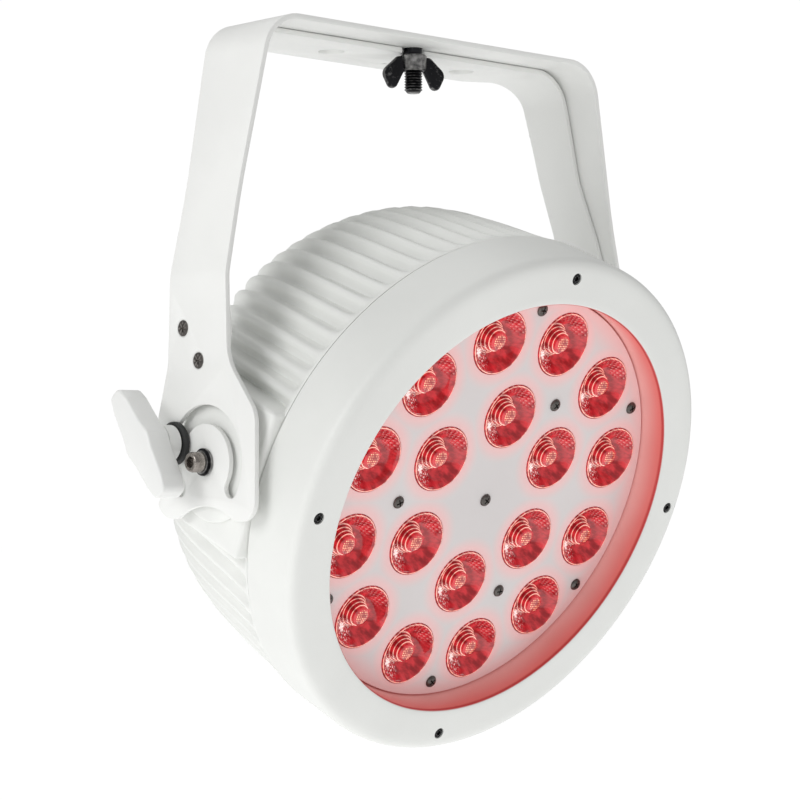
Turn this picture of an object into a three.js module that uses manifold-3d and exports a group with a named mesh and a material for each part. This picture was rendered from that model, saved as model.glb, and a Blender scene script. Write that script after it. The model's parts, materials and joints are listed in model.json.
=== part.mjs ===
// An LED par light in a double bracket: a ribbed drum housing with eighteen lenses, held in a bent
// sheet yoke on two pivot screws, locked by two wing knobs that ride in arc slots, with an inner
// bracket that swings back and is clamped under the yoke by a wing nut.
// The group's origin is on the top face of the yoke's crossbar, on the axis of the hanging stud.
// +X is the pivot axis, -Y is the way the light points when level, +Z is up.
import * as THREE from "three";
import { mergeVertices } from "three/addons/utils/BufferGeometryUtils.js";
import Module from "manifold-3d";

const wasm = await Module();
wasm.setup();

// ---- driving dimensions, millimetres and degrees ----
const contactGap = 0.3; // between pieces that bear on each other
const past = 1; // how far a cutting tool runs past what it cuts
const tiltAtRest = 22.8; // how far the light looks down

// yoke
const sheet = 3; // thickness of both brackets
const yokeHalfWidth = 151.7; // pivot centre to an arm's outer face
const yokeHeight = 232; // pivot axis to the crossbar's top face
const yokeTopHalfWidth = 123.4; // where a leaning arm would meet the top face
const leanHeight = 96; // the arms are upright below this
const leanBend = 30;
const crossbarBend = 24;
const studSetBack = 6; // hanging stud behind the pivot axis
const crossbarFront = 24.5; // crossbar edges from the stud's axis
const crossbarRear = 19.5;
const waistHeight = 140;
const waistFront = 15; // arm edges at the waist, from the pivot axis
const waistRear = 28;
const neckHeight = 50;
const neckFront = 17.5;
const neckRear = 31;
const lobeHalfWidth = 39.7; // the widened lower end of an arm
const lobeDrop = 29.5;
const lobeRound = 11;
const shoulderFront = 25;
const shoulderRear = 21.5;
const scallopDepth = 7; // hollows in the lower and rear edges
const scallopHalfSpan = 23;

// hanging stud, wing nut
const studRadius = 5;
const studLength = 28;
const studHeadRadius = 9.5;
const studHeadDepth = 2.2;
const studClearance = 0.5;
const nutRadius = 7.5;
const nutHeight = 8.8;
const wingSpan = 19.5;
const wingDrop = 14;
const wingThickness = 3.2;
const wingRoot = 3; // how far a wing reaches into the hub
const wingTipWidth = 6.5;
const wingShoulder = 2.5; // beyond the hub at the top
const nutTurn = -20; // degrees, as it's left after tightening

// inner bracket
const bracketPivotBack = 5.9; // its pivot screws, from the light's pivot axis
const bracketPivotUp = 51.7;
const stopScrewBack = 12.7; // stop screws, from the bracket's pivot screws
const stopScrewUp = 16.9;
const bracketSwing = 80;
const barDepth = 50; // front to back
const bracketEndRadius = 16.5;
const bracketEndFlare = 4.5; // wider than its round end where the arm meets it
const bracketEndFlareUp = 15;
const armLowDrop = 102; // places on the bracket's arms, below the crossbar's top face
const armHighDrop = 66;
const barRearDrop = 16;
const barFrontDrop = 32;
const armLowFront = -5; // the arms' edges there, behind the pivot axis
const armLowRear = 27;
const armHighFront = 3;
const armHighRear = 34;
const notchFlare = 4; // widening and depth of the notch's mouth
const notchFlareDepth = 3;
const barHoleRadius = 7.2;
const barHoles = [-39, 62];
const smallHoleRadius = 2;
const smallHoleAcross = 10;
const smallHoleBehind = 9; // behind the bar's middle

// screws through the arms
const armScrewHeadRadius = 4.3;
const armScrewHeadDepth = 2;
const armScrewRadius = 2.2;
const armScrewClearance = 0.4;

// light's pivot
const pivotScrewRadius = 3;
const pivotHeadRadius = 5.2;
const pivotHeadHeight = 6.2;
const pivotWasherRadius = 7.1;
const pivotWasherThickness = 2.8;
const pivotDiscRadius = 14;
const pivotDiscThickness = 1.5;
const pivotThreadDepth = 12;
const hexAcrossFlats = 5;
const hexDepth = 3;

// tilt lock
const slotRadius = 24.4;
const slotClearance = 0.8; // between a lock stud and the slot's sides
const slotEndAngle = 33; // below the horizontal at both ends
const lockStudRadius = 4;
const lockStudDepth = 11; // in the boss
const lockWasherRadius = 11.2;
const lockWasherThickness = 3.5;
const knobHubRadius = 9.5;
const knobHubHeight = 8.2;
const knobWingThickness = 14;
const knobWingLength = 32.5; // half of the whole
const knobWingHalfWidth = 6.8;
const knobMiddleRadius = 10.6;
const knobTipLength = 8; // of each narrowed end
const knobTipShare = 0.62; // its half-width, as a share of the wing's
const knobWaistShare = 0.8; // where the middle meets the wings, as a share of its radius
const knobWaistHalfWidth = 8.4;
const knobWallOverStud = 6;
const knobTurn = 30;

// housing: distances along the light's axis are from the pivot, forward positive
const ribCount = 72;
const ribHalfWidth = 1.6;
const ribDepth = 6;
const ribRootShare = 1.6; // width at a rib's root, as a share of its crest's
const crestAtBand = 142;
const crestAtShoulder = 131;
const shoulderAt = -50;
const crestAtTurn = 123; // where the shoulder turns in to the back
const turnAt = -68;
const backAt = -88;
const crestAtBack = 102;
const housingWall = 3;
const bandAt = 33; // where the ribs end and the bezel's band begins
const coverRadius = 97;
const coverThickness = 2.5;
const coverRecess = 1;
const coverGap = 0.8; // round the cover's edge
const padHalfHeight = 40;
const padClearance = 1.1; // between a pad's face and the inner bracket's arm
const padBack = 34;
const padRound = 18;
const bossRadius = 31;
const plugDepth = 22; // solid metal behind a pad's face
const plugCover = 6; // the plug's own end, below the pad's face
const spigotLength = 11;
const spigotGap = 0.9; // inside the bezel's skirt
const bezelLedgeGap = 1; // round the ledge that the lens plate rests on

// bezel and lens plate
const bezelRadius = 142.5;
const bezelFront = 71.1;
const bezelInnerRadius = 117.5;
const bezelWall = 3;
const bezelRound = 5; // rounding of the outer front edge
const bezelRoundDepthShare = 1.2; // how much deeper than wide the rounding is
const bezelInnerEdge = 3; // slope of the inner front edge
const bezelScrewCircle = 132;
const bezelScrewRadius = 1.5;
const bezelScrewHeadRadius = 2.9;
const bezelScrewSeat = 1; // below the bezel's front face
const bezelScrewHeadHeight = 0.6;
const bezelScrewHexRadius = 1.4;
const postRadius = 4.5;
const postFloor = 6; // solid below a post's screw hole, from the spigot's front
const postScrewGap = 2; // below a bezel screw's end
const plateFront = 54.1;
const plateThickness = 2;

// light engine
const lensRadius = 18;
const innerRing = 48.4;
const lensMargin = 6.3; // between an outer lens and the bezel's opening
const innerCount = 6;
const outerCount = 12;
const lensDepth = 17;
const lensBackRadius = 8.5;
const lensCrown = 0.9;
const lensRim = 2;
const lensEdge = 0.2; // the rim, behind the plate's face
const lensFlatShare = 0.55; // the crown's flatter middle, as a share of the radius
const lensFlatRise = 0.7; // and its rise, as a share of the crown's
const chipSize = 6;
const chipHeight = 0.9;
const boardThickness = 1.6;
const boardRadius = 108;
const sinkThickness = 5;
const sinkRadius = 105;
const sinkFins = 8;
const sinkFinLength = 16;
const sinkFinPitch = 18;
const sinkFinThickness = 3;
const sinkFinShare = 0.8; // of the disc's width at a fin
const electronicsGap = 6; // behind the fins, and between the board and the supply
const supplySize = [120, 34, 56];
const driverSize = [112, 1.6, 62];
const driverBack = 12; // the board's middle, behind the front of the electronics
// parts on the board: width, depth, height, then across and up from its middle
const driverParts = [
  [22, 12, 16, -30, 0],
  [14, 9, 30, 12, 0],
  [18, 12, 12, 38, -12],
];

// back panel fittings, across and up from the light's axis
const displaySize = [44, 22];
const displayUp = 52;
const displayThickness = 3; // of the window's plug in the cover
const displayPane = 1.5;
const displayLip = 2; // the window over the edge of its hole
const displayClearance = 0.5;
const displayRound = 2.5;
const buttonPitch = 17;
const buttonUp = 26;
const buttonRadius = 4.5;
const buttonTravel = 1;
const buttonFlange = 1.5; // wider than the button, behind the cover
const buttonFlangeThickness = 2;
const buttonFlangeGap = 2.5; // from the cover at rest
const buttonProud = 0.8; // left standing out when pressed
const socketRadius = 12;
const socketFlangeRadius = 15.5;
const socketFlangeThickness = 3;
const socketDepth = 20;
const socketBoreRadius = 8.5;
const socketBoreDepth = 15;
const socketAcross = 58;
const socketInnerAcross = 21;
const powerUp = -12;
const dataUp = -52;
const eyeUp = 84;
const eyeHalfWidth = 11;
const eyeHeight = 14;
const eyeBar = 3;
const eyeFoot = 4; // solid below the eye's hole

// facets of round bodies
const drumSides = 36;
const ringSides = 36;
const holeSides = 12;
const cornerStep = 24; // degrees

// ---- frames ----
const armInner = yokeHalfWidth - sheet;
const slotHalfWidth = lockStudRadius + slotClearance;
const bossFace = armInner - 2 * contactGap - pivotDiscThickness;
const bracketOuter = armInner - 2 * contactGap;
const bracketInner = bracketOuter - sheet;
const padHalfWidth = bracketInner - padClearance; // across the light, to the pad's face
const part = new THREE.Group();
const pivotFrame = new THREE.Group(); // origin on the pivot axis, in the middle of the light
pivotFrame.position.set(0, -studSetBack, -yokeHeight);
part.add(pivotFrame);
const head = new THREE.Group();
head.rotation.x = THREE.MathUtils.degToRad(tiltAtRest);
pivotFrame.add(head);

// ---- materials ----
const paint = new THREE.MeshStandardMaterial({ color: 0xecece8, roughness: 0.55, metalness: 0 });
const moulding = new THREE.MeshStandardMaterial({ color: 0xeeeeec, roughness: 0.4, metalness: 0 });
const plateWhite = new THREE.MeshStandardMaterial({ color: 0xf2eeee, roughness: 0.5, metalness: 0 });
const lensRed = new THREE.MeshStandardMaterial({ color: 0xc02028, roughness: 0.1, metalness: 0 });
const nickel = new THREE.MeshStandardMaterial({ color: 0x9a9590, roughness: 0.3, metalness: 1 });
const blackOxide = new THREE.MeshStandardMaterial({ color: 0x26262a, roughness: 0.4, metalness: 0.9 });
const rubber = new THREE.MeshStandardMaterial({ color: 0x242524, roughness: 0.8, metalness: 0 });
const aluminium = new THREE.MeshStandardMaterial({ color: 0xb8babc, roughness: 0.4, metalness: 1 });
const board = new THREE.MeshStandardMaterial({ color: 0x1d5a35, roughness: 0.5, metalness: 0 });
const blackPlastic = new THREE.MeshStandardMaterial({ color: 0x1b1b1c, roughness: 0.5, metalness: 0 });
const smoked = new THREE.MeshStandardMaterial({ color: 0x10181c, roughness: 0.1, metalness: 0 });

// ---- solids ----
function toSolid(geometry) {
  const bare = geometry.index ? geometry.toNonIndexed() : geometry.clone();
  bare.deleteAttribute("normal");
  bare.deleteAttribute("uv");
  const merged = mergeVertices(bare, 1e-4);
  return new wasm.Manifold(
    new wasm.Mesh({
      numProp: 3,
      vertProperties: merged.attributes.position.array,
      triVerts: new Uint32Array(merged.index.array),
    }),
  );
}

function toGeometry(solid) {
  const mesh = solid.getMesh();
  const positions = new Float32Array(mesh.numVert * 3);
  for (let i = 0; i < mesh.numVert; i++) {
    const start = i * mesh.numProp;
    positions.set(mesh.vertProperties.subarray(start, start + 3), i * 3);
  }
  const geometry = new THREE.BufferGeometry();
  geometry.setAttribute("position", new THREE.BufferAttribute(positions, 3));
  geometry.setIndex(new THREE.BufferAttribute(new Uint32Array(mesh.triVerts), 1));
  const flat = geometry.toNonIndexed();
  flat.computeVertexNormals();
  return flat;
}

function addMesh(parent, name, solid, material) {
  const mesh = new THREE.Mesh(toGeometry(solid), material);
  mesh.name = name;
  parent.add(mesh);
  return mesh;
}

function join(solids) {
  return solids.reduce((whole, next) => whole.add(next));
}

function cut(solid, tools) {
  return tools.reduce((rest, tool) => rest.subtract(tool), solid);
}

const alongX = new THREE.Matrix4().makeBasis(
  new THREE.Vector3(0, 1, 0),
  new THREE.Vector3(0, 0, 1),
  new THREE.Vector3(1, 0, 0),
);
const alongY = new THREE.Matrix4().makeBasis(
  new THREE.Vector3(1, 0, 0),
  new THREE.Vector3(0, 0, 1),
  new THREE.Vector3(0, -1, 0),
);

// a shape drawn in Y and Z, extruded from x = from to x = to
function extrudeAcross(shape, from, to) {
  const geometry = new THREE.ExtrudeGeometry(shape, {
    depth: to - from,
    bevelEnabled: false,
    curveSegments: 6,
  });
  geometry.applyMatrix4(alongX);
  geometry.translate(from, 0, 0);
  return toSolid(geometry);
}

// a shape drawn in X and Z, extruded from y = from to y = to
function extrudeDepth(shape, from, to) {
  const geometry = new THREE.ExtrudeGeometry(shape, {
    depth: to - from,
    bevelEnabled: false,
    curveSegments: 6,
  });
  geometry.applyMatrix4(alongY);
  geometry.translate(0, to, 0);
  return toSolid(geometry);
}

// a round bar along X, its middle at y and z
function barAcross(radius, from, to, y, z, sides = holeSides) {
  const geometry = new THREE.CylinderGeometry(radius, radius, to - from, sides);
  geometry.rotateZ(Math.PI / 2);
  geometry.translate((from + to) / 2, y, z);
  return toSolid(geometry);
}

// a round bar along Y, its middle at x and z
function barDeep(radius, from, to, x, z, sides = holeSides) {
  const geometry = new THREE.CylinderGeometry(radius, radius, to - from, sides);
  geometry.translate(x, (from + to) / 2, z);
  return toSolid(geometry);
}

// a round bar along Z
function barUp(radius, from, to, x, y, sides = holeSides) {
  const geometry = new THREE.CylinderGeometry(radius, radius, to - from, sides);
  geometry.rotateX(Math.PI / 2);
  geometry.translate(x, y, (from + to) / 2);
  return toSolid(geometry);
}

function block(sizeX, sizeY, sizeZ, x, y, z) {
  const geometry = new THREE.BoxGeometry(sizeX, sizeY, sizeZ);
  geometry.translate(x, y, z);
  return toSolid(geometry);
}

// a body of revolution about the light's axis; each point is [radius, forward]
function turned(points, sides = drumSides) {
  const profile = points.map(([radius, forward]) => new THREE.Vector2(radius, -forward));
  const solid = toSolid(new THREE.LatheGeometry([...profile, profile[0]], sides));
  if (solid.volume() > 0) return solid;
  return toSolid(new THREE.LatheGeometry([profile[0], ...profile.toReversed()], sides));
}

// the points of a polygon with its corners rounded; each corner is [a, b, radius]
function rounded(corners) {
  const points = [];
  corners.forEach(([a, b, radius], i) => {
    const here = new THREE.Vector2(a, b);
    if (!radius) {
      points.push(here);
      return;
    }
    const [lastA, lastB] = corners[(i + corners.length - 1) % corners.length];
    const [nextA, nextB] = corners[(i + 1) % corners.length];
    const back = new THREE.Vector2(lastA, lastB).sub(here).normalize();
    const ahead = new THREE.Vector2(nextA, nextB).sub(here).normalize();
    const half = Math.acos(back.dot(ahead)) / 2;
    const toCentre = back.clone().add(ahead).normalize().multiplyScalar(radius / Math.sin(half));
    const centre = here.clone().add(toCentre);
    const start = back.multiplyScalar(radius / Math.tan(half)).add(here).sub(centre);
    const sweep = (Math.PI - 2 * half) * Math.sign(start.cross(here.clone().sub(centre)));
    const steps = Math.max(1, Math.round(Math.abs(sweep) / THREE.MathUtils.degToRad(cornerStep)));
    for (let k = 0; k <= steps; k++) {
      points.push(start.clone().rotateAround(new THREE.Vector2(), (sweep * k) / steps).add(centre));
    }
  });
  return points;
}

// ---- sheet brackets ----

// The bent strip seen from the front: a closed band of even thickness, legs down to the given foot.
function bentStrip(halfWidth, topHalfWidth, top, foot) {
  const right = [
    [topHalfWidth, top, crossbarBend],
    [halfWidth, leanHeight, leanBend],
    [halfWidth, foot, 0],
  ];
  const lean = Math.atan2(halfWidth - topHalfWidth, top - leanHeight);
  const topShift = sheet * Math.tan((Math.PI / 2 - lean) / 2);
  const leanShift = sheet * Math.tan(lean / 2);
  const rightInner = [
    [halfWidth - sheet, foot, 0],
    [halfWidth - sheet, leanHeight - leanShift, leanBend - sheet],
    [topHalfWidth - topShift, top - sheet, crossbarBend - sheet],
  ];
  const mirrored = (corners) => corners.map(([x, z, radius]) => [-x, z, radius]).reverse();
  return new THREE.Shape(
    rounded([...right, ...rightInner, ...mirrored(rightInner), ...mirrored(right)]),
  );
}

// The widened arm end, neck, waist and crossbar edge of the yoke, seen from the side.
function yokeOutline() {
  const above = yokeHeight + sheet;
  return new THREE.Shape(
    rounded([
      [-lobeHalfWidth, -lobeDrop, lobeRound],
      [lobeHalfWidth, -lobeDrop, lobeRound],
      [lobeHalfWidth, shoulderRear, 2],
      [neckRear, neckHeight, 20],
      [waistRear, waistHeight, 200],
      [studSetBack + crossbarRear, above, 0],
      [studSetBack - crossbarFront, above, 0],
      [-waistFront, waistHeight, 200],
      [-neckFront, neckHeight + 2, 25],
      [-lobeHalfWidth, shoulderFront, 16],
    ]),
  );
}

function slotShape() {
  const end = THREE.MathUtils.degToRad(slotEndAngle);
  const rear = new THREE.Vector2(Math.cos(end), -Math.sin(end)).multiplyScalar(slotRadius);
  const shape = new THREE.Shape();
  shape.absarc(0, 0, slotRadius + slotHalfWidth, -end, Math.PI + end, false);
  shape.absarc(-rear.x, rear.y, slotHalfWidth, Math.PI + end, 2 * Math.PI + end, false);
  shape.absarc(0, 0, slotRadius - slotHalfWidth, Math.PI + end, -end, true);
  shape.absarc(rear.x, rear.y, slotHalfWidth, Math.PI - end, 2 * Math.PI - end, false);
  return shape;
}

// a cone-headed screw through an arm, along X, its head flush with the arm's outer face
function armScrew(side, y, z, headRadius, shankRadius) {
  const head = new THREE.CylinderGeometry(headRadius, shankRadius, armScrewHeadDepth, holeSides);
  head.rotateZ(-Math.PI / 2);
  head.translate(yokeHalfWidth - armScrewHeadDepth / 2, y, z);
  const shankEnd = yokeHalfWidth - armScrewHeadDepth / 2;
  const shank = barAcross(shankRadius, bracketInner + contactGap, shankEnd, y, z);
  const screw = toSolid(head).add(shank);
  return side > 0 ? screw : mirrorX(screw);
}

function mirrorX(solid) {
  const geometry = toGeometry(solid);
  geometry.scale(-1, 1, 1);
  const position = geometry.attributes.position;
  const corner = new THREE.Vector3();
  const other = new THREE.Vector3();
  for (let i = 0; i < position.count; i += 3) {
    corner.fromBufferAttribute(position, i + 1);
    other.fromBufferAttribute(position, i + 2);
    position.setXYZ(i + 1, other.x, other.y, other.z);
    position.setXYZ(i + 2, corner.x, corner.y, corner.z);
  }
  return toSolid(geometry);
}

const stopBack = bracketPivotBack + stopScrewBack;
const stopUp = bracketPivotUp + stopScrewUp;

function outerYoke() {
  const far = yokeHalfWidth + 5;
  const foot = -lobeDrop - 5;
  const strip = extrudeDepth(
    bentStrip(yokeHalfWidth, yokeTopHalfWidth, yokeHeight, foot),
    -lobeHalfWidth - 5,
    lobeHalfWidth + 5,
  );
  const body = strip.intersect(extrudeAcross(yokeOutline(), -far, far));
  const hollow = (scallopHalfSpan ** 2 + scallopDepth ** 2) / (2 * scallopDepth);
  const tools = [
    extrudeAcross(slotShape(), -far, far),
    barAcross(pivotScrewRadius + armScrewClearance, -far, far, 0, 0),
    barAcross(hollow, -far, far, 0, -lobeDrop + scallopDepth - hollow, 72),
    barAcross(hollow, -far, far, lobeHalfWidth - scallopDepth + hollow, 0, 48),
    barUp(studRadius + contactGap, yokeHeight - sheet - past, yokeHeight + past, 0, studSetBack, 20),
    barUp(studHeadRadius + contactGap, yokeHeight - studHeadDepth - contactGap, yokeHeight + past,
      0, studSetBack, 24),
  ];
  for (const side of [-1, 1]) {
    for (const [y, z] of [[bracketPivotBack, bracketPivotUp], [stopBack, stopUp]]) {
      tools.push(armScrew(side, y, z, armScrewHeadRadius + contactGap,
        armScrewRadius + armScrewClearance));
    }
  }
  return cut(body, tools);
}

// The inner bracket's side outline: a round lower end on its pivot, an arm that leans back, a wider bar.
function bracketOutline() {
  const front = studSetBack;
  const rear = studSetBack + barDepth;
  const low = bracketPivotUp - bracketEndRadius;
  const flare = bracketEndRadius + bracketEndFlare;
  const flareUp = bracketPivotUp + bracketEndFlareUp;
  return new THREE.Shape(
    rounded([
      [bracketPivotBack - bracketEndRadius, low, bracketEndRadius - 2],
      [bracketPivotBack + bracketEndRadius, low, bracketEndRadius - 2],
      [bracketPivotBack + flare, flareUp, 20],
      [armLowRear, yokeHeight - armLowDrop, 60],
      [armHighRear, yokeHeight - armHighDrop, 60],
      [rear - 5, yokeHeight - barRearDrop, 30],
      [rear, yokeHeight, 0],
      [front, yokeHeight, 0],
      [front - 2, yokeHeight - barFrontDrop, 60],
      [armHighFront, yokeHeight - armHighDrop, 60],
      [armLowFront, yokeHeight - armLowDrop, 60],
      [bracketPivotBack - flare, flareUp, 20],
    ]),
  );
}

// the arc in each bracket arm that the stop screw runs in
function stopSlotShape() {
  const radius = Math.hypot(stopScrewBack, stopScrewUp);
  const half = armScrewRadius + armScrewClearance;
  const rearEnd = Math.atan2(stopScrewUp, stopScrewBack);
  const frontEnd = rearEnd + THREE.MathUtils.degToRad(bracketSwing);
  const at = (angle) => [
    bracketPivotBack + radius * Math.cos(angle),
    bracketPivotUp + radius * Math.sin(angle),
  ];
  const shape = new THREE.Shape();
  shape.absarc(bracketPivotBack, bracketPivotUp, radius + half, rearEnd, frontEnd, false);
  shape.absarc(...at(frontEnd), half, frontEnd, frontEnd + Math.PI, false);
  shape.absarc(bracketPivotBack, bracketPivotUp, radius - half, frontEnd, rearEnd, true);
  shape.absarc(...at(rearEnd), half, rearEnd + Math.PI, rearEnd + 2 * Math.PI, false);
  return shape;
}

function innerBracket() {
  const far = yokeHalfWidth;
  const inset = sheet + 2 * contactGap;
  const drop = sheet + contactGap;
  const lean = Math.atan2(yokeHalfWidth - yokeTopHalfWidth, yokeHeight - leanHeight);
  const topInset = inset / Math.cos(lean) - drop * Math.tan(lean);
  const strip = extrudeDepth(
    bentStrip(yokeHalfWidth - inset, yokeTopHalfWidth - topInset, yokeHeight - drop, 0),
    -lobeHalfWidth,
    studSetBack + barDepth + 5,
  );
  const body = strip.intersect(extrudeAcross(bracketOutline(), -far, far));
  const notch = studRadius + studClearance;
  const leadIn = new THREE.Shape([
    new THREE.Vector2(-notch - notchFlare, -past),
    new THREE.Vector2(notch + notchFlare, -past),
    new THREE.Vector2(notch, notchFlareDepth),
    new THREE.Vector2(-notch, notchFlareDepth),
  ]);
  const low = yokeHeight - 3 * sheet;
  const mouth = new THREE.ExtrudeGeometry(leadIn, { depth: yokeHeight - low, bevelEnabled: false });
  mouth.translate(0, studSetBack, low);
  const middle = studSetBack + barDepth / 2;
  const tools = [
    barUp(notch, low, yokeHeight, 0, studSetBack, 20),
    toSolid(mouth),
    ...barHoles.map((x) => barUp(barHoleRadius, low, yokeHeight, x, middle, 20)),
    barUp(smallHoleRadius, low, yokeHeight, smallHoleAcross, middle + smallHoleBehind, 12),
    extrudeAcross(stopSlotShape(), -far, far),
    barAcross(armScrewRadius + armScrewClearance, -far, far, bracketPivotBack, bracketPivotUp),
  ];
  return cut(body, tools);
}

function hangingStud() {
  const top = yokeHeight;
  const head = new THREE.CylinderGeometry(studHeadRadius, studHeadRadius, studHeadDepth, 24);
  head.rotateX(Math.PI / 2);
  head.translate(0, studSetBack, top - studHeadDepth / 2);
  const shank = barUp(studRadius, top - studLength, top - studHeadDepth / 2, 0, studSetBack, 20);
  return toSolid(head).add(shank);
}

const nutTop = yokeHeight - 2 * sheet - contactGap * 3;

function wingNut() {
  const wing = new THREE.Shape(
    rounded([
      [nutRadius - wingRoot, 0, 0],
      [nutRadius - wingRoot, -nutHeight, 0],
      [wingSpan - wingTipWidth, -nutHeight - wingDrop, 2.5],
      [wingSpan, -nutHeight, 3],
      [nutRadius + wingShoulder, 0, 3],
    ]),
  );
  const half = wingThickness / 2;
  const lobe = extrudeDepth(wing, -half, half);
  const hub = barUp(nutRadius, -nutHeight, 0, 0, 0, 20);
  const body = join([hub, lobe, mirrorX(lobe)]);
  return body.subtract(barUp(studRadius + contactGap, -nutHeight - past, past, 0, 0, 20));
}

function addBrackets() {
  addMesh(pivotFrame, "outer_yoke", outerYoke(), paint);
  addMesh(pivotFrame, "inner_bracket", innerBracket(), paint);
  addMesh(pivotFrame, "hanging_stud", hangingStud(), blackOxide);
  const nut = addMesh(pivotFrame, "wing_nut", wingNut(), blackOxide);
  nut.position.set(0, studSetBack, nutTop);
  nut.rotation.z = THREE.MathUtils.degToRad(nutTurn);
  for (const [side, word] of [[-1, "left"], [1, "right"]]) {
    addMesh(pivotFrame, "bracket_pivot_screw_" + word,
      armScrew(side, bracketPivotBack, bracketPivotUp, armScrewHeadRadius, armScrewRadius), nickel);
    addMesh(pivotFrame, "bracket_stop_screw_" + word,
      armScrew(side, stopBack, stopUp, armScrewHeadRadius, armScrewRadius), nickel);
  }
}

// ---- pivots and tilt locks, drawn for the right-hand side ----

function pivotScrew() {
  const seat = yokeHalfWidth + pivotWasherThickness + 2 * contactGap;
  const face = seat + pivotHeadHeight;
  const socket = barAcross(hexAcrossFlats / Math.sqrt(3), face - hexDepth, face + past, 0, 0, 6);
  return join([
    barAcross(pivotHeadRadius, seat, face, 0, 0, 20),
    barAcross(pivotScrewRadius, bossFace - pivotThreadDepth, seat + past, 0, 0, 16),
  ]).subtract(socket);
}

function washer(radius, hole, from, to) {
  const tool = barAcross(hole, from - past, to + past, 0, 0, 10);
  return barAcross(radius, from, to, 0, 0, 16).subtract(tool);
}

function knobOutline() {
  const tip = knobWingLength;
  const half = knobWingHalfWidth;
  const end = half * knobTipShare;
  const neck = tip - knobTipLength;
  const waist = knobMiddleRadius * knobWaistShare;
  return new THREE.Shape(
    rounded([
      [tip, end, 4],
      [neck, half, 10],
      [waist, knobWaistHalfWidth, 0],
      [0, knobMiddleRadius, 6],
      [-waist, knobWaistHalfWidth, 0],
      [-neck, half, 10],
      [-tip, end, 4],
      [-tip, -end, 4],
      [-neck, -half, 10],
      [-waist, -knobWaistHalfWidth, 0],
      [0, -knobMiddleRadius, 6],
      [waist, -knobWaistHalfWidth, 0],
      [neck, -half, 10],
      [tip, -end, 4],
    ]),
  );
}

const lockWasherFrom = yokeHalfWidth + contactGap;
const hubFrom = lockWasherFrom + lockWasherThickness + contactGap;
const wingFrom = hubFrom + knobHubHeight;
const wingTo = wingFrom + knobWingThickness;
const lockStudEnd = wingTo - knobWallOverStud;

function tiltKnob() {
  const body = extrudeAcross(knobOutline(), wingFrom, wingTo).add(
    barAcross(knobHubRadius, hubFrom, wingFrom + past, 0, 0, 20),
  );
  const bore = barAcross(lockStudRadius + contactGap, hubFrom - past, lockStudEnd + contactGap, 0, 0);
  return body.subtract(bore);
}

function addPivots() {
  const sideParts = [
    ["pivot_screw", pivotScrew(), nickel, 0, 0],
    ["pivot_washer", washer(pivotWasherRadius, pivotScrewRadius + contactGap,
      yokeHalfWidth + contactGap, yokeHalfWidth + contactGap + pivotWasherThickness),
    blackOxide, 0, 0],
    ["pivot_disc", washer(pivotDiscRadius, pivotScrewRadius + contactGap, bossFace + contactGap,
      bossFace + contactGap + pivotDiscThickness), rubber, 0, 0],
    ["tilt_knob", tiltKnob(), moulding, slotRadius, knobTurn],
    ["tilt_lock_stud", barAcross(lockStudRadius, bossFace - lockStudDepth, lockStudEnd, 0, 0),
      nickel, slotRadius, 0],
    ["tilt_lock_washer", washer(lockWasherRadius, lockStudRadius + contactGap, lockWasherFrom,
      lockWasherFrom + lockWasherThickness), rubber, slotRadius, 0],
  ];
  for (const [name, solid, material, back, turn] of sideParts) {
    for (const [side, word] of [[-1, "left"], [1, "right"]]) {
      const mesh = addMesh(head, name + "_" + word, side > 0 ? solid : mirrorX(solid), material);
      mesh.position.y = back;
      mesh.rotation.x = THREE.MathUtils.degToRad(turn);
    }
  }
}

// ---- housing ----

function rootProfile() {
  return [
    [coverRadius + housingWall, backAt],
    [crestAtTurn - ribDepth, turnAt],
    [crestAtShoulder - ribDepth, shoulderAt],
    [crestAtBand - ribDepth, bandAt],
  ];
}

function crestProfile() {
  return [
    [crestAtBack, backAt],
    [crestAtTurn, turnAt],
    [crestAtShoulder, shoulderAt],
    [crestAtBand, bandAt],
  ];
}

function ribbing() {
  const points = [];
  for (let i = 0; i < ribCount; i++) {
    const angle = (2 * Math.PI * i) / ribCount;
    const half = ribHalfWidth / crestAtBand;
    const root = half * ribRootShare;
    const deep = coverRadius + housingWall - 2 * past;
    const high = crestAtBand + past;
    for (const [radius, turn] of [[deep, -root], [high, -half], [high, half], [deep, root]]) {
      points.push(new THREE.Vector2(
        radius * Math.cos(angle + turn),
        radius * Math.sin(angle + turn),
      ));
    }
  }
  const teeth = extrudeDepth(new THREE.Shape(points), -bandAt, -backAt);
  const envelope = turned([[0, backAt], ...crestProfile(), [0, bandAt]]);
  return teeth.intersect(envelope);
}

const spigotRadius = bezelRadius - bezelWall - spigotGap;
const spigotFront = bandAt + spigotLength;
const ledge = plateFront - plateThickness - contactGap;
const ledgeRadius = bezelInnerRadius - bezelLedgeGap;
const postTop = bezelFront - bezelRound;
const postHoleEnd = spigotFront + postFloor;

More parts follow.
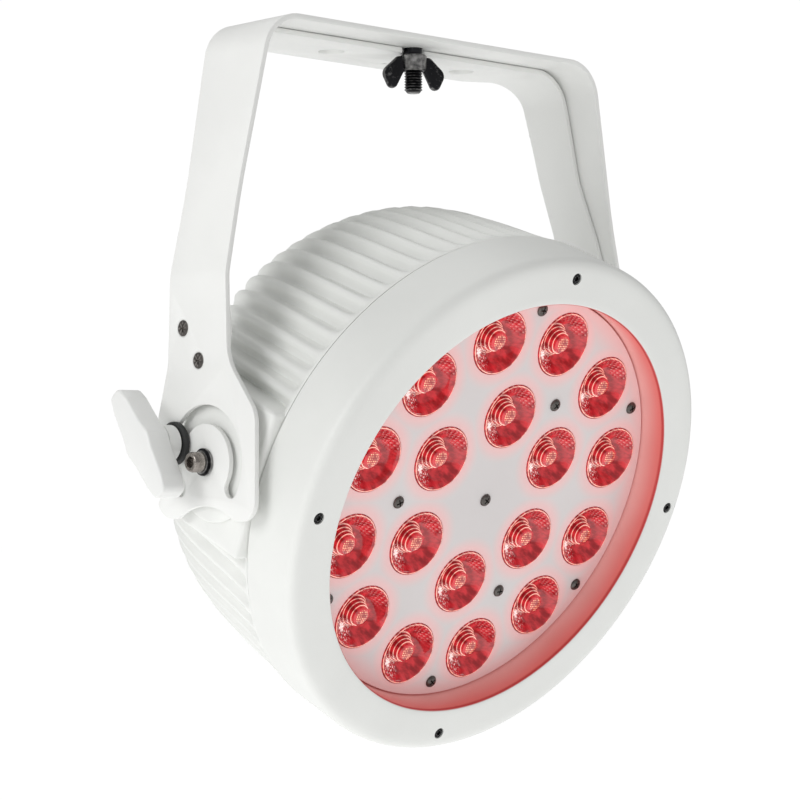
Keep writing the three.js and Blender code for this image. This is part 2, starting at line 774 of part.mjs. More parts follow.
function housing() {
  const core = turned([
    [0, backAt],
    ...rootProfile(),
    [spigotRadius, bandAt],
    [spigotRadius, spigotFront],
    [ledgeRadius, spigotFront],
    [ledgeRadius, ledge],
    [0, ledge],
  ]);
  const pad = extrudeAcross(
    new THREE.Shape(rounded([
      [-bandAt, -padHalfHeight, 0],
      [padBack, -padHalfHeight, padRound],
      [padBack, padHalfHeight, padRound],
      [-bandAt, padHalfHeight, 0],
    ])),
    -padHalfWidth,
    padHalfWidth,
  );
  const boss = barAcross(bossRadius, -bossFace, bossFace, 0, 0, 32);
  const posts = [];
  const postHoles = [];
  for (let i = 0; i < 4; i++) {
    const x = bezelScrewCircle * Math.cos((i * Math.PI) / 2);
    const z = bezelScrewCircle * Math.sin((i * Math.PI) / 2);
    posts.push(barDeep(postRadius, -postTop, -bandAt, x, z, 12));
    postHoles.push(barDeep(bezelScrewRadius + contactGap, -postTop - past, -postHoleEnd, x, z, 8));
  }
  const inner = (points) => points.map(([radius, forward]) => [radius - housingWall, forward]);
  const cavity = turned([
    [0, backAt - past],
    [coverRadius + coverGap, backAt - past],
    [coverRadius + coverGap, backAt + coverRecess + coverThickness + contactGap],
    ...inner(rootProfile().slice(1)),
    [spigotRadius - housingWall, spigotFront - housingWall],
    [ledgeRadius - housingWall, spigotFront - housingWall],
    [ledgeRadius - housingWall, ledge + past],
    [0, ledge + past],
  ]);
  const bores = [];
  for (const side of [-1, 1]) {
    const deep = padHalfWidth - plugDepth - past;
    for (const [radius, y] of [[pivotScrewRadius, 0], [lockStudRadius, slotRadius]]) {
      const ends = side > 0 ? [deep, bossFace + past] : [-bossFace - past, -deep];
      bores.push(barAcross(radius + contactGap, ...ends, y, 0));
    }
  }
  const plugs = [-1, 1].map((side) => {
    const ends = [side * (padHalfWidth - plugDepth), side * (padHalfWidth - plugCover)];
    return barAcross(bossRadius + past, Math.min(...ends), Math.max(...ends), 0, 0, 20);
  });
  const shell = cut(join([core, ribbing(), pad, boss]), [cavity]);
  return cut(join([shell, ...plugs, ...posts]), [...bores, ...postHoles]);
}

function bezel() {
  const r = bezelRadius;
  const round = [];
  for (let i = 0; i <= 3; i++) {
    const angle = (i * Math.PI) / 6;
    round.push([r - bezelRound * (1 - Math.cos(angle)),
      bezelFront - bezelRound * bezelRoundDepthShare * (1 - Math.sin(angle))]);
  }
  const backOfFront = bezelFront - bezelWall;
  const ring = turned([
    [r, bandAt + contactGap],
    ...round,
    [bezelInnerRadius + bezelInnerEdge, bezelFront],
    [bezelInnerRadius, bezelFront - bezelInnerEdge],
    [bezelInnerRadius, spigotFront + contactGap],
    [bezelInnerRadius + bezelWall, spigotFront + contactGap],
    [bezelInnerRadius + bezelWall, backOfFront - bezelInnerEdge / 2],
    [bezelInnerRadius + bezelWall + bezelInnerEdge / 2, backOfFront],
    [r - bezelRound, backOfFront],
    [r - bezelWall, backOfFront - bezelRound],
    [r - bezelWall, bandAt + contactGap],
  ], ringSides);
  const holes = [];
  for (let i = 0; i < 4; i++) {
    const x = bezelScrewCircle * Math.cos((i * Math.PI) / 2);
    const z = bezelScrewCircle * Math.sin((i * Math.PI) / 2);
    const seat = bezelFront - bezelScrewSeat;
    const before = -bezelFront - past;
    holes.push(barDeep(bezelScrewRadius + contactGap, before, bezelWall - backOfFront, x, z, 12));
    holes.push(barDeep(bezelScrewHeadRadius + contactGap, before, -seat, x, z, 12));
  }
  return cut(ring, holes);
}

function bezelScrew() {
  const seat = bezelFront - bezelScrewSeat + contactGap;
  const face = seat + bezelScrewHeadHeight;
  const hex = barDeep(bezelScrewHexRadius, -face - past, past - seat, 0, 0, 6);
  return join([
    barDeep(bezelScrewHeadRadius, -face, -seat, 0, 0, 8),
    barDeep(bezelScrewRadius, -seat - contactGap / 2, -postHoleEnd - postScrewGap, 0, 0, 8),
  ]).subtract(hex);
}

// ---- light engine ----

const outerRing = bezelInnerRadius - lensRadius - lensMargin;

// centres of the eighteen lenses, across and up
function lensCentres() {
  const centres = [];
  for (const [count, radius, first] of [[innerCount, innerRing, 90], [outerCount, outerRing, 75]]) {
    for (let i = 0; i < count; i++) {
      const angle = THREE.MathUtils.degToRad(first - (i * 360) / count);
      centres.push([radius * Math.cos(angle), radius * Math.sin(angle)]);
    }
  }
  return centres;
}

function lensPlate() {
  const radius = bezelInnerRadius - contactGap;
  const back = plateFront - plateThickness;
  const disc = barDeep(radius, -plateFront, -back, 0, 0, ringSides);
  const holes = lensCentres().map(([x, z]) =>
    barDeep(lensRadius + contactGap, -plateFront - past, past - back, x, z, holeSides));
  return cut(disc, holes);
}

function lens() {
  const front = plateFront;
  return turned(
    [
      [0, front - lensDepth],
      [lensBackRadius, front - lensDepth],
      [lensRadius, front - lensRim],
      [lensRadius, front - lensEdge],
      [lensRadius * lensFlatShare, front + lensCrown * lensFlatRise],
      [0, front + lensCrown],
    ],
    holeSides,
  );
}

const boardFront = plateFront - lensDepth - chipHeight - contactGap;
const sinkFront = boardFront - boardThickness - contactGap;

function ledBoard() {
  const disc = barDeep(boardRadius, -boardFront, boardThickness - boardFront, 0, 0, drumSides);
  const chips = lensCentres().map(([x, z]) =>
    block(chipSize, chipHeight + past, chipSize, x, (past - chipHeight) / 2 - boardFront, z));
  return join([disc, ...chips]);
}

function heatSink() {
  const back = sinkThickness - sinkFront;
  const disc = barDeep(sinkRadius, -sinkFront, back, 0, 0, drumSides);
  const fins = [];
  for (let i = 0; i < sinkFins; i++) {
    const x = (i - (sinkFins - 1) / 2) * sinkFinPitch;
    const height = 2 * Math.sqrt(sinkRadius ** 2 - x ** 2) * sinkFinShare;
    const length = sinkFinLength + past;
    fins.push(block(sinkFinThickness, length, height, x, back + sinkFinLength - length / 2, 0));
  }
  return join([disc, ...fins]);
}

const electronicsFrom = sinkThickness - sinkFront + sinkFinLength + electronicsGap;

function powerSupply() {
  const [x, y, z] = supplySize;
  return block(x, y, z, 0, electronicsFrom + y / 2, -(z + electronicsGap) / 2);
}

function driverBoard() {
  const [x, y, z] = driverSize;
  const middle = z / 2 + electronicsGap;
  const behind = electronicsFrom + driverBack;
  const parts = driverParts.map(([width, depth, height, across, up]) =>
    block(width, depth, height, across, behind - depth / 2, middle + up));
  return join([block(x, y, z, 0, behind, middle), ...parts]);
}

// ---- back panel ----

const coverBack = -(backAt + coverRecess);
const coverFront = coverBack - coverThickness;
const socketPlaces = [
  ["power_in_socket", -socketAcross, powerUp],
  ["power_out_socket", socketAcross, powerUp],
  ["signal_in_socket", -socketInnerAcross, dataUp],
  ["signal_out_socket", socketInnerAcross, dataUp],
];
const buttonNames = ["menu_button", "down_button", "up_button", "enter_button"];
const buttonX = (i) => (i - (buttonNames.length - 1) / 2) * buttonPitch;

function rearCover() {
  const disc = barDeep(coverRadius, coverFront, coverBack, 0, 0, ringSides);
  const [width, height] = displaySize;
  const tools = [
    block(width - 2 * displayLip, 2 * coverBack, height - 2 * displayLip, 0, coverBack, displayUp),
    ...socketPlaces.map(([, x, z]) =>
      barDeep(socketRadius + contactGap, coverFront - past, coverBack + past, x, z, 20)),
    ...buttonNames.map((_, i) =>
      barDeep(buttonRadius + contactGap, coverFront - past, coverBack + past, buttonX(i),
        buttonUp, 12)),
  ];
  return cut(disc, tools);
}

function displayWindow() {
  const [width, height] = displaySize;
  const inset = 2 * (displayLip + displayClearance);
  const from = coverBack + contactGap;
  const shape = new THREE.Shape(
    rounded([
      [-width / 2, -height / 2, displayRound],
      [width / 2, -height / 2, displayRound],
      [width / 2, height / 2, displayRound],
      [-width / 2, height / 2, displayRound],
    ]),
  );
  const pane = extrudeDepth(shape, from, from + displayPane);
  const plug = block(width - inset, displayThickness, height - inset, 0, from, 0);
  return pane.add(plug);
}

function button() {
  const back = coverFront - buttonFlangeGap;
  return join([
    barDeep(buttonRadius, back - past, coverBack + buttonTravel + buttonProud, 0, 0, 12),
    barDeep(buttonRadius + buttonFlange, back - buttonFlangeThickness, back, 0, 0, 12),
  ]);
}

function socket() {
  const face = coverBack + contactGap + socketFlangeThickness;
  return join([
    barDeep(socketFlangeRadius, coverBack + contactGap, face, 0, 0, 16),
    barDeep(socketRadius, coverBack - socketDepth, face - past, 0, 0, 16),
  ]).subtract(barDeep(socketBoreRadius, face - socketBoreDepth, face + past, 0, 0, 12));
}

function safetyEye() {
  const outer = new THREE.Shape(
    rounded([
      [-eyeHalfWidth - eyeBar, 0, 3],
      [eyeHalfWidth + eyeBar, 0, 3],
      [eyeHalfWidth, eyeHeight, 5],
      [-eyeHalfWidth, eyeHeight, 5],
    ]),
  );
  outer.holes.push(
    new THREE.Path(
      rounded([
        [-eyeHalfWidth + 1, eyeFoot, 1.5],
        [eyeHalfWidth - 1, eyeFoot, 1.5],
        [eyeHalfWidth - eyeBar, eyeHeight - eyeBar, 2],
        [eyeBar - eyeHalfWidth, eyeHeight - eyeBar, 2],
      ]),
    ),
  );
  const geometry = new THREE.ExtrudeGeometry(outer, { depth: eyeBar, bevelEnabled: false });
  geometry.translate(0, 0, -eyeBar / 2);
  return toSolid(geometry);
}

function addHead() {
  addMesh(head, "housing", housing(), paint);
  addMesh(head, "bezel", bezel(), paint);
  for (const [i, word] of ["right", "top", "left", "bottom"].entries()) {
    const screw = addMesh(head, "bezel_screw_" + word, bezelScrew(), blackOxide);
    screw.position.x = bezelScrewCircle * Math.cos((i * Math.PI) / 2);
    screw.position.z = bezelScrewCircle * Math.sin((i * Math.PI) / 2);
  }
  addMesh(head, "lens_plate", lensPlate(), plateWhite);
  lensCentres().forEach(([x, z], i) => {
    const number = String(i + 1).padStart(2, "0");
    const mesh = addMesh(head, "lens_" + number, lens(), lensRed);
    mesh.position.set(x, 0, z);
  });
  addMesh(head, "led_board", ledBoard(), board);
  addMesh(head, "heat_sink", heatSink(), aluminium);
  addMesh(head, "power_supply", powerSupply(), aluminium);
  addMesh(head, "driver_board", driverBoard(), board);
}

function addBackPanel() {
  addMesh(head, "rear_cover", rearCover(), paint);
  addMesh(head, "display_window", displayWindow(), smoked).position.z = displayUp;
  buttonNames.forEach((name, i) => {
    addMesh(head, name, button(), blackPlastic).position.set(buttonX(i), 0, buttonUp);
  });
  for (const [name, x, z] of socketPlaces) {
    addMesh(head, name, socket(), blackPlastic).position.set(x, 0, z);
  }
  addMesh(head, "safety_eye", safetyEye(), nickel).position.set(0, coverBack + contactGap, eyeUp);
}

addBrackets();
addPivots();
addHead();
addBackPanel();

export default part;
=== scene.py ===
import json
import math
import bpy
from mathutils import Matrix, Vector


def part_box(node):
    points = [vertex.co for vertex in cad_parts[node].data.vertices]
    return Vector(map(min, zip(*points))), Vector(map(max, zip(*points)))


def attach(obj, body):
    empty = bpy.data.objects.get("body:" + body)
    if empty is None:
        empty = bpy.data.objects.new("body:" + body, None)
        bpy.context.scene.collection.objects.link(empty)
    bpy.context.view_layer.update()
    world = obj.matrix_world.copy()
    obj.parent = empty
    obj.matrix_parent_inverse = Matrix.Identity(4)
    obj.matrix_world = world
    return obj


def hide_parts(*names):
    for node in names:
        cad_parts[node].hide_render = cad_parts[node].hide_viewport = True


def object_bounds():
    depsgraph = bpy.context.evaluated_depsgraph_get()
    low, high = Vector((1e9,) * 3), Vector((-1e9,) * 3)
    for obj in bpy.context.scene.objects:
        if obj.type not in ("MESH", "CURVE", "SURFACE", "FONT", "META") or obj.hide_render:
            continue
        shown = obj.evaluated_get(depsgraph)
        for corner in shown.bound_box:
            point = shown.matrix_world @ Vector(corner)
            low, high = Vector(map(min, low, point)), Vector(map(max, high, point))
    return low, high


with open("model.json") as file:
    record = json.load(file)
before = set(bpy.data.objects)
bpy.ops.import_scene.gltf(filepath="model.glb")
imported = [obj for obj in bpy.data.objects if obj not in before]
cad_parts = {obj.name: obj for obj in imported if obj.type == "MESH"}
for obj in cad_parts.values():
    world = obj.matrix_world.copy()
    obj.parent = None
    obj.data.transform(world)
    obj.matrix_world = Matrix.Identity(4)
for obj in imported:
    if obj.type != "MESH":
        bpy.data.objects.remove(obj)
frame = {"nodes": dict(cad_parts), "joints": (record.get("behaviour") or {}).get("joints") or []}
cadLow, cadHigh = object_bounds()
joints = {joint["name"]: joint for joint in frame["joints"]}
mm = 0.001  # every size below is in millimetres
pivot = Vector(joints["head_tilt"]["pos_m"])
press = Vector(joints["menu_button_press"]["axis"])
tilt = math.atan2(-press.z, -press.y)  # how far the light looks down at rest
onPivot = Matrix.Translation(pivot)
onHead = onPivot @ Matrix.Rotation(tilt, 4, "X")
lockSpot = Vector(joints["tilt_knob_right_spin"]["pos_m"]) - pivot
lockBack = math.hypot(lockSpot.y, lockSpot.z) / mm  # tilt lock stud, behind the pivot axis
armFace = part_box("outer_yoke")[1].x / mm
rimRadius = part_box("bezel")[1].x / mm
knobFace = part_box("tilt_knob_right")[1].x / mm
print("frame loaded, tilt", round(math.degrees(tilt), 1))


camera = {"place": (-0.873, -0.919, -0.221), "towards": (0.68435, 0.72894, 0.01769), "lens": 102.8}


def addCamera():
    bpy.ops.object.camera_add(location=camera["place"])
    made = bpy.context.object
    made.rotation_euler = Vector(camera["towards"]).to_track_quat("-Z", "Y").to_euler()
    made.data.lens = camera["lens"]
    made.data.clip_start = 0.05
    bpy.context.scene.camera = made


studio = {
    "floorDrop": 0.55,  # below the light's lowest point
    "floorRadius": 14,
    "skyForLight": 0.44,
    "skyForCamera": 1.02,
    "floorShade": 0.9,
    "floorGlow": 0.62,
    "softboxes": [  # name, place, size, watts
        ("key", (-2.0, 0.1, 0.6), 1.1, 15),
        ("top", (0.2, 0.5, 1.5), 1.2, 5),
        ("right", (1.6, -1.0, 0.6), 0.6, 2),
    ],
}


def addStudio():
    aim = (cadLow + cadHigh) / 2
    for name, place, size, watts in studio["softboxes"]:
        bpy.ops.object.light_add(type="AREA", location=place)
        lamp = bpy.context.object
        lamp.name = name + "Softbox"
        lamp.data.size = size
        lamp.data.energy = watts
        lamp.rotation_euler = (aim - Vector(place)).to_track_quat("-Z", "Y").to_euler()
    bpy.ops.mesh.primitive_circle_add(
        vertices=96, radius=studio["floorRadius"], fill_type="NGON",
        location=(0, 0, cadLow.z - studio["floorDrop"]))
    floor = bpy.context.object
    floor.name = "floor"
    paper, nodes, links, shader = newMaterial("paperFloor")
    shader.inputs["Base Color"].default_value = (*[studio["floorShade"]] * 3, 1)
    shader.inputs["Roughness"].default_value = 0.8
    shader.inputs["Emission Color"].default_value = (1, 1, 1, 1)
    shader.inputs["Emission Strength"].default_value = studio["floorGlow"]
    floor.data.materials.append(paper)
    world = bpy.data.worlds.new("paleStudio")
    bpy.context.scene.world = world
    world.use_nodes = True
    nodes = world.node_tree.nodes
    links = world.node_tree.links
    sky = nodes["Background"]
    sky.inputs["Color"].default_value = (1, 1, 1, 1)
    path = nodes.new("ShaderNodeLightPath")
    level = nodes.new("ShaderNodeMapRange")
    level.inputs["To Min"].default_value = studio["skyForLight"]
    level.inputs["To Max"].default_value = studio["skyForCamera"]
    links.new(path.outputs["Is Camera Ray"], level.inputs["Value"])
    links.new(level.outputs["Result"], sky.inputs["Strength"])
    bpy.context.scene.view_settings.view_transform = "Standard"
    bpy.context.scene.view_settings.look = "None"


def deselectAll():
    if bpy.context.mode != "OBJECT":
        bpy.ops.object.mode_set(mode="OBJECT")
    bpy.ops.object.select_all(action="DESELECT")


def pick(piece):
    deselectAll()
    piece.select_set(True)
    bpy.context.view_layer.objects.active = piece


def edit(piece, kind="VERT"):
    pick(piece)
    bpy.ops.object.mode_set(mode="EDIT")
    bpy.ops.mesh.select_mode(type=kind)


def selectWhere(piece, test):  # the corners for which test(x, y, z in mm) is true, left in edit mode
    edit(piece)
    bpy.ops.mesh.select_all(action="DESELECT")
    bpy.ops.object.mode_set(mode="OBJECT")
    for corner in piece.data.vertices:
        if test(*(corner.co / mm)):
            corner.select = True
    bpy.ops.object.mode_set(mode="EDIT")


def spot(plane, a, b, depth):
    places = {"side": (depth, a, b), "front": (a, depth, b), "top": (a, b, depth)}
    return Vector(places[plane]) * mm


def drawLine(name, places):  # one corner, then one extrusion to each next place
    deselectAll()
    bpy.ops.mesh.primitive_plane_add(size=mm, location=places[0])
    line = bpy.context.object
    line.name = name
    bpy.ops.object.transform_apply(location=True, rotation=False, scale=False)
    edit(line)
    bpy.ops.mesh.merge(type="CENTER")
    for last, here in zip(places, places[1:]):
        bpy.ops.mesh.extrude_vertices_move(TRANSFORM_OT_translate={"value": here - last})
    return line


def plate(name, outline, plane, start, end):  # an outline in mm, filled and extruded
    slab = drawLine(name, [spot(plane, a, b, start) for a, b in outline])
    bpy.ops.mesh.select_all(action="SELECT")
    bpy.ops.mesh.edge_face_add()
    bpy.ops.mesh.extrude_region_move(
        TRANSFORM_OT_translate={"value": spot(plane, 0, 0, end) - spot(plane, 0, 0, start)})
    bpy.ops.mesh.select_all(action="SELECT")
    bpy.ops.mesh.normals_make_consistent(inside=False)
    deselectAll()
    return slab


def turned(name, profile, axis="Y", steps=48, closed=False):
    # profile points are [radius, along]; along Y means forward, out of the light's face
    whole = [*profile, profile[0]] if closed else profile
    ways = {
        "X": lambda r, a: Vector((a, r, 0)) * mm,
        "Y": lambda r, a: Vector((r, -a, 0)) * mm,
        "Z": lambda r, a: Vector((r, 0, a)) * mm,
    }
    shape = drawLine(name, [ways[axis](r, a) for r, a in whole])
    bpy.ops.mesh.select_all(action="SELECT")
    bpy.ops.mesh.remove_doubles(threshold=0.002 * mm)
    bpy.ops.mesh.spin(steps=steps, angle=2 * math.pi, center=(0, 0, 0),
                      axis=[float(axis == way) for way in "XYZ"])
    bpy.ops.mesh.select_all(action="SELECT")
    bpy.ops.mesh.remove_doubles(threshold=0.002 * mm)
    bpy.ops.mesh.select_all(action="SELECT")
    bpy.ops.mesh.normals_make_consistent(inside=False)
    deselectAll()
    return shape


def rod(name, radius, start, end, axis, spotA=0, spotB=0, sides=32):
    # a plain cutter or pin; spotA and spotB are the other two places, in X, Y, Z order
    middle = (start + end) / 2
    place = {"X": (middle, spotA, spotB), "Y": (spotA, middle, spotB), "Z": (spotA, spotB, middle)}
    turn = {"X": (0, math.pi / 2, 0), "Y": (math.pi / 2, 0, 0), "Z": (0, 0, 0)}
    deselectAll()
    bpy.ops.mesh.primitive_cylinder_add(
        vertices=sides, radius=radius * mm, depth=abs(end - start) * mm,
        location=Vector(place[axis]) * mm, rotation=turn[axis])
    made = bpy.context.object
    made.name = name
    bpy.ops.object.transform_apply()
    return made


def applyModifier(piece, kind, **settings):
    modifier = piece.modifiers.new(kind.lower(), kind)
    for key, value in settings.items():
        setattr(modifier, key, value)
    pick(piece)
    bpy.ops.object.modifier_apply(modifier=modifier.name)


def carve(piece, *tools, operation="DIFFERENCE"):
    for tool in tools:
        applyModifier(piece, "BOOLEAN", operation=operation, object=tool, solver="EXACT")
        bpy.data.objects.remove(tool)


def soften(piece, width, segments=2, angle=32):
    applyModifier(piece, "BEVEL", width=width * mm, segments=segments, limit_method="ANGLE",
                  angle_limit=math.radians(angle), use_clamp_overlap=False)


def place(piece, matrix):
    piece.matrix_world = matrix @ piece.matrix_world
    pick(piece)
    bpy.ops.object.transform_apply()


def copyOf(piece, name):
    pick(piece)
    bpy.ops.object.duplicate()
    made = bpy.context.object
    made.name = name
    return made


def joined(pieces):
    deselectAll()
    for piece in pieces:
        piece.select_set(True)
    bpy.context.view_layer.objects.active = pieces[0]
    bpy.ops.object.join()
    return pieces[0]


def mirrored(piece, name):
    twin = copyOf(piece, name)
    twin.scale.x = -1
    bpy.ops.object.transform_apply()
    edit(twin)
    bpy.ops.mesh.select_all(action="SELECT")
    bpy.ops.mesh.remove_doubles(threshold=0.001 * mm)
    bpy.ops.mesh.normals_make_consistent(inside=False)
    deselectAll()
    return twin


def finish(piece, body, slotName, material, *nodes, smooth=35, flat=False):
    pick(piece)
    bpy.ops.object.shade_smooth_by_angle(angle=math.radians(smooth))
    if flat:  # keeps a wide flat face evenly shaded up to its bevels
        applyModifier(piece, "WEIGHTED_NORMAL", keep_sharp=True)
    if material:
        piece.data.materials.clear()
        piece.data.materials.append(material)
    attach(piece, body)
    if nodes:
        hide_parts(*nodes)
    return piece


def turnedBy(point, angle):
    return Matrix.Rotation(angle, 2) @ Vector(point)


def arc(centre, radius, start, end, step=8):
    count = max(2, round(abs(end - start) / step))
    angles = [math.radians(start + (end - start) * k / count) for k in range(count + 1)]
    return [(centre[0] + radius * math.cos(a), centre[1] + radius * math.sin(a)) for a in angles]


def roundCorners(corners, step=7):  # a polygon's corners [a, b, radius], rounded
    points = []
    for i, (a, b, radius) in enumerate(corners):
        here = Vector((a, b))
        if not radius:
            points.append(here)
            continue
        back = (Vector(corners[i - 1][:2]) - here).normalized()
        ahead = (Vector(corners[(i + 1) % len(corners)][:2]) - here).normalized()
        half = back.angle(ahead) / 2
        centre = here + (back + ahead).normalized() * (radius / math.sin(half))
        start = here + back * (radius / math.tan(half)) - centre
        toCorner = here - centre
        way = 1 if start.x * toCorner.y - start.y * toCorner.x > 0 else -1
        sweep = math.pi - 2 * half
        count = max(1, round(math.degrees(sweep) / step))
        for k in range(count + 1):
            points.append(centre + turnedBy(start, way * sweep * k / count))
    return points


def crossCutter(name, reach, width, top, depth, axis):  # the tapered cross of a screw's recess
    bars = []
    for turn in (0, math.pi / 2):
        bpy.ops.mesh.primitive_cube_add(size=1)
        bar = bpy.context.object
        bar.name = name
        bar.scale = Vector((2 * reach, width, depth)) * mm
        bar.location.z = (top - depth / 2) * mm
        bar.rotation_euler.z = turn
        bpy.ops.object.transform_apply()
        bars.append(bar)
    carve(bars[0], bars[1], operation="UNION")
    ways = {
        "Y": Matrix.Rotation(math.pi / 2, 4, "X"),
        "X": Matrix.Rotation(math.pi / 2, 4, "Y"),
        "Z": Matrix(),
    }
    place(bars[0], ways[axis])
    return bars[0]


def newMaterial(name):
    material = bpy.data.materials.new(name)
    material.use_nodes = True
    nodes = material.node_tree.nodes
    return material, nodes, material.node_tree.links, nodes["Principled BSDF"]


def newGroup(name, inputs, outputs):
    group = bpy.data.node_groups.new(name, "ShaderNodeTree")
    for title, kind, start in inputs:
        socket = group.interface.new_socket(name=title, in_out="INPUT", socket_type="NodeSocket" + kind)
        if start is not None:
            socket.default_value = start
    for title, kind in outputs:
        group.interface.new_socket(name=title, in_out="OUTPUT", socket_type="NodeSocket" + kind)
    return group, group.nodes.new("NodeGroupInput"), group.nodes.new("NodeGroupOutput")


def useGroup(nodes, group, **values):
    node = nodes.new("ShaderNodeGroup")
    node.node_tree = group
    for title, value in values.items():
        node.inputs[title].default_value = value
    return node


def calc(tree, kind, *values, clamp=False):  # a Math node on numbers or sockets
    node = tree.nodes.new("ShaderNodeMath")
    node.operation = kind
    node.use_clamp = clamp
    for i, value in enumerate(values):
        if isinstance(value, (int, float)):
            node.inputs[i].default_value = value
        else:
            tree.links.new(value, node.inputs[i])
    return node.outputs[0]


def blendColours(tree, mask, dark, light):
    node = tree.nodes.new("ShaderNodeMix")
    node.data_type = "RGBA"
    if isinstance(mask, (int, float)):
        node.inputs[0].default_value = mask
    else:
        tree.links.new(mask, node.inputs[0])
    for i, value in ((6, dark), (7, light)):
        if isinstance(value, tuple):
            node.inputs[i].default_value = (*value, 1)
        else:
            tree.links.new(value, node.inputs[i])
    return node.outputs[2]


def between(tree, value, low, high, first=0.0, last=1.0):  # a smooth step from low to high
    node = tree.nodes.new("ShaderNodeMapRange")
    node.interpolation_type = "SMOOTHSTEP"
    tree.links.new(value, node.inputs["Value"])
    for title, number in (("From Min", low), ("From Max", high), ("To Min", first), ("To Max", last)):
        node.inputs[title].default_value = number
    return node.outputs["Result"]


def makeGrainGroup():  # fine and broad unevenness of a sprayed or moulded skin
    group, start, end = newGroup(
        "surfaceGrain", [("Vector", "Vector", None), ("Size", "Float", 0.001)],
        [("Fine", "Float"), ("Broad", "Float")])
    fine = group.nodes.new("ShaderNodeTexNoise")
    fine.inputs["Detail"].default_value = 3
    broad = group.nodes.new("ShaderNodeTexNoise")
    broad.inputs["Scale"].default_value = 14
    broad.inputs["Detail"].default_value = 4
    group.links.new(start.outputs["Vector"], fine.inputs["Vector"])
    group.links.new(start.outputs["Vector"], broad.inputs["Vector"])
    group.links.new(calc(group, "DIVIDE", 1.0, start.outputs["Size"]), fine.inputs["Scale"])
    group.links.new(fine.outputs["Fac"], end.inputs["Fine"])
    group.links.new(broad.outputs["Fac"], end.inputs["Broad"])
    return group


def makeWearGroup():  # bare or rubbed edges, broken up by noise
    group, start, end = newGroup(
        "edgeWear", [("Vector", "Vector", None), ("Low", "Float", 0.52), ("High", "Float", 0.6)],
        [("Mask", "Float")])
    shape = group.nodes.new("ShaderNodeNewGeometry")
    patches = group.nodes.new("ShaderNodeTexNoise")
    patches.inputs["Scale"].default_value = 420
    patches.inputs["Detail"].default_value = 4
    group.links.new(start.outputs["Vector"], patches.inputs["Vector"])
    spread = calc(group, "MULTIPLY_ADD", patches.outputs["Fac"], 0.12, -0.06)
    edge = calc(group, "ADD", shape.outputs["Pointiness"], spread)
    step = group.nodes.new("ShaderNodeMapRange")
    group.links.new(edge, step.inputs["Value"])
    group.links.new(start.outputs["Low"], step.inputs["From Min"])
    group.links.new(start.outputs["High"], step.inputs["From Max"])
    group.links.new(step.outputs["Result"], end.inputs["Mask"])
    return group


lensRings = [  # radius, first angle and step between lenses, in mm and degrees
    (48.4, 90, 60),
    (93.2, 75, 30),
]
lensRadius = 18


def makeLensDistanceGroup():  # how far a place on the face is from the nearest lens centre, in mm
    group, start, end = newGroup("lensDistance", [("Vector", "Vector", None)],
                                 [("Distance", "Float"), ("Radius", "Float"), ("Forward", "Float")])
    turn = group.nodes.new("ShaderNodeMapping")
    away = Matrix.Rotation(-tilt, 3, "X") @ -pivot
    turn.inputs["Location"].default_value = away / mm
    turn.inputs["Rotation"].default_value = (-tilt, 0, 0)
    turn.inputs["Scale"].default_value = (1 / mm, 1 / mm, 1 / mm)
    group.links.new(start.outputs["Vector"], turn.inputs["Vector"])
    parts = group.nodes.new("ShaderNodeSeparateXYZ")
    group.links.new(turn.outputs["Vector"], parts.inputs[0])
    across, back, up = parts.outputs
    radius = calc(group, "SQRT", calc(group, "ADD", calc(group, "MULTIPLY", across, across),
                                      calc(group, "MULTIPLY", up, up)))
    angle = calc(group, "ARCTAN2", up, across)
    nearest = None
    for ring, first, step in lensRings:
        half = math.radians(step / 2)
        fold = calc(group, "WRAP", calc(group, "SUBTRACT", angle, math.radians(first)), half, -half)
        a = calc(group, "SUBTRACT", calc(group, "MULTIPLY", radius, calc(group, "COSINE", fold)), ring)
        b = calc(group, "MULTIPLY", radius, calc(group, "SINE", fold))
        distance = calc(group, "SQRT", calc(group, "ADD", calc(group, "MULTIPLY", a, a),
                                            calc(group, "MULTIPLY", b, b)))
        nearest = calc(group, "MINIMUM", nearest, distance) if nearest else distance
    group.links.new(nearest, end.inputs["Distance"])
    group.links.new(radius, end.inputs["Radius"])
    group.links.new(calc(group, "MULTIPLY", back, -1.0), end.inputs["Forward"])
    return group


grain = makeGrainGroup()
wear = makeWearGroup()
lensDistance = makeLensDistanceGroup()


def coatedMaterial(name, colour, roughness, size=0.0011, bump=0.25, depth=0.00012, spread=0.05,
                   metallic=0.0, coat=0.0):
    # a skin with fine grain in its height and roughness, and broad variation in its shade
    material, nodes, links, shader = newMaterial(name)
    tree = material.node_tree
    where = nodes.new("ShaderNodeTexCoord").outputs["Object"]
    skin = useGroup(nodes, grain, Size=size)
    links.new(where, skin.inputs["Vector"])
    darker = tuple(c * (1 - spread) for c in colour)
    shade = between(tree, skin.outputs["Broad"], 0.3, 0.7)
    links.new(blendColours(tree, shade, darker, colour), shader.inputs["Base Color"])
    links.new(between(tree, skin.outputs["Fine"], 0.3, 0.7, roughness - 0.06, roughness + 0.06),
              shader.inputs["Roughness"])
    relief = nodes.new("ShaderNodeBump")
    relief.inputs["Strength"].default_value = bump
    relief.inputs["Distance"].default_value = depth
    links.new(skin.outputs["Fine"], relief.inputs["Height"])
    links.new(relief.outputs["Normal"], shader.inputs["Normal"])
    shader.inputs["Metallic"].default_value = metallic
    shader.inputs["Coat Weight"].default_value = coat
    return material


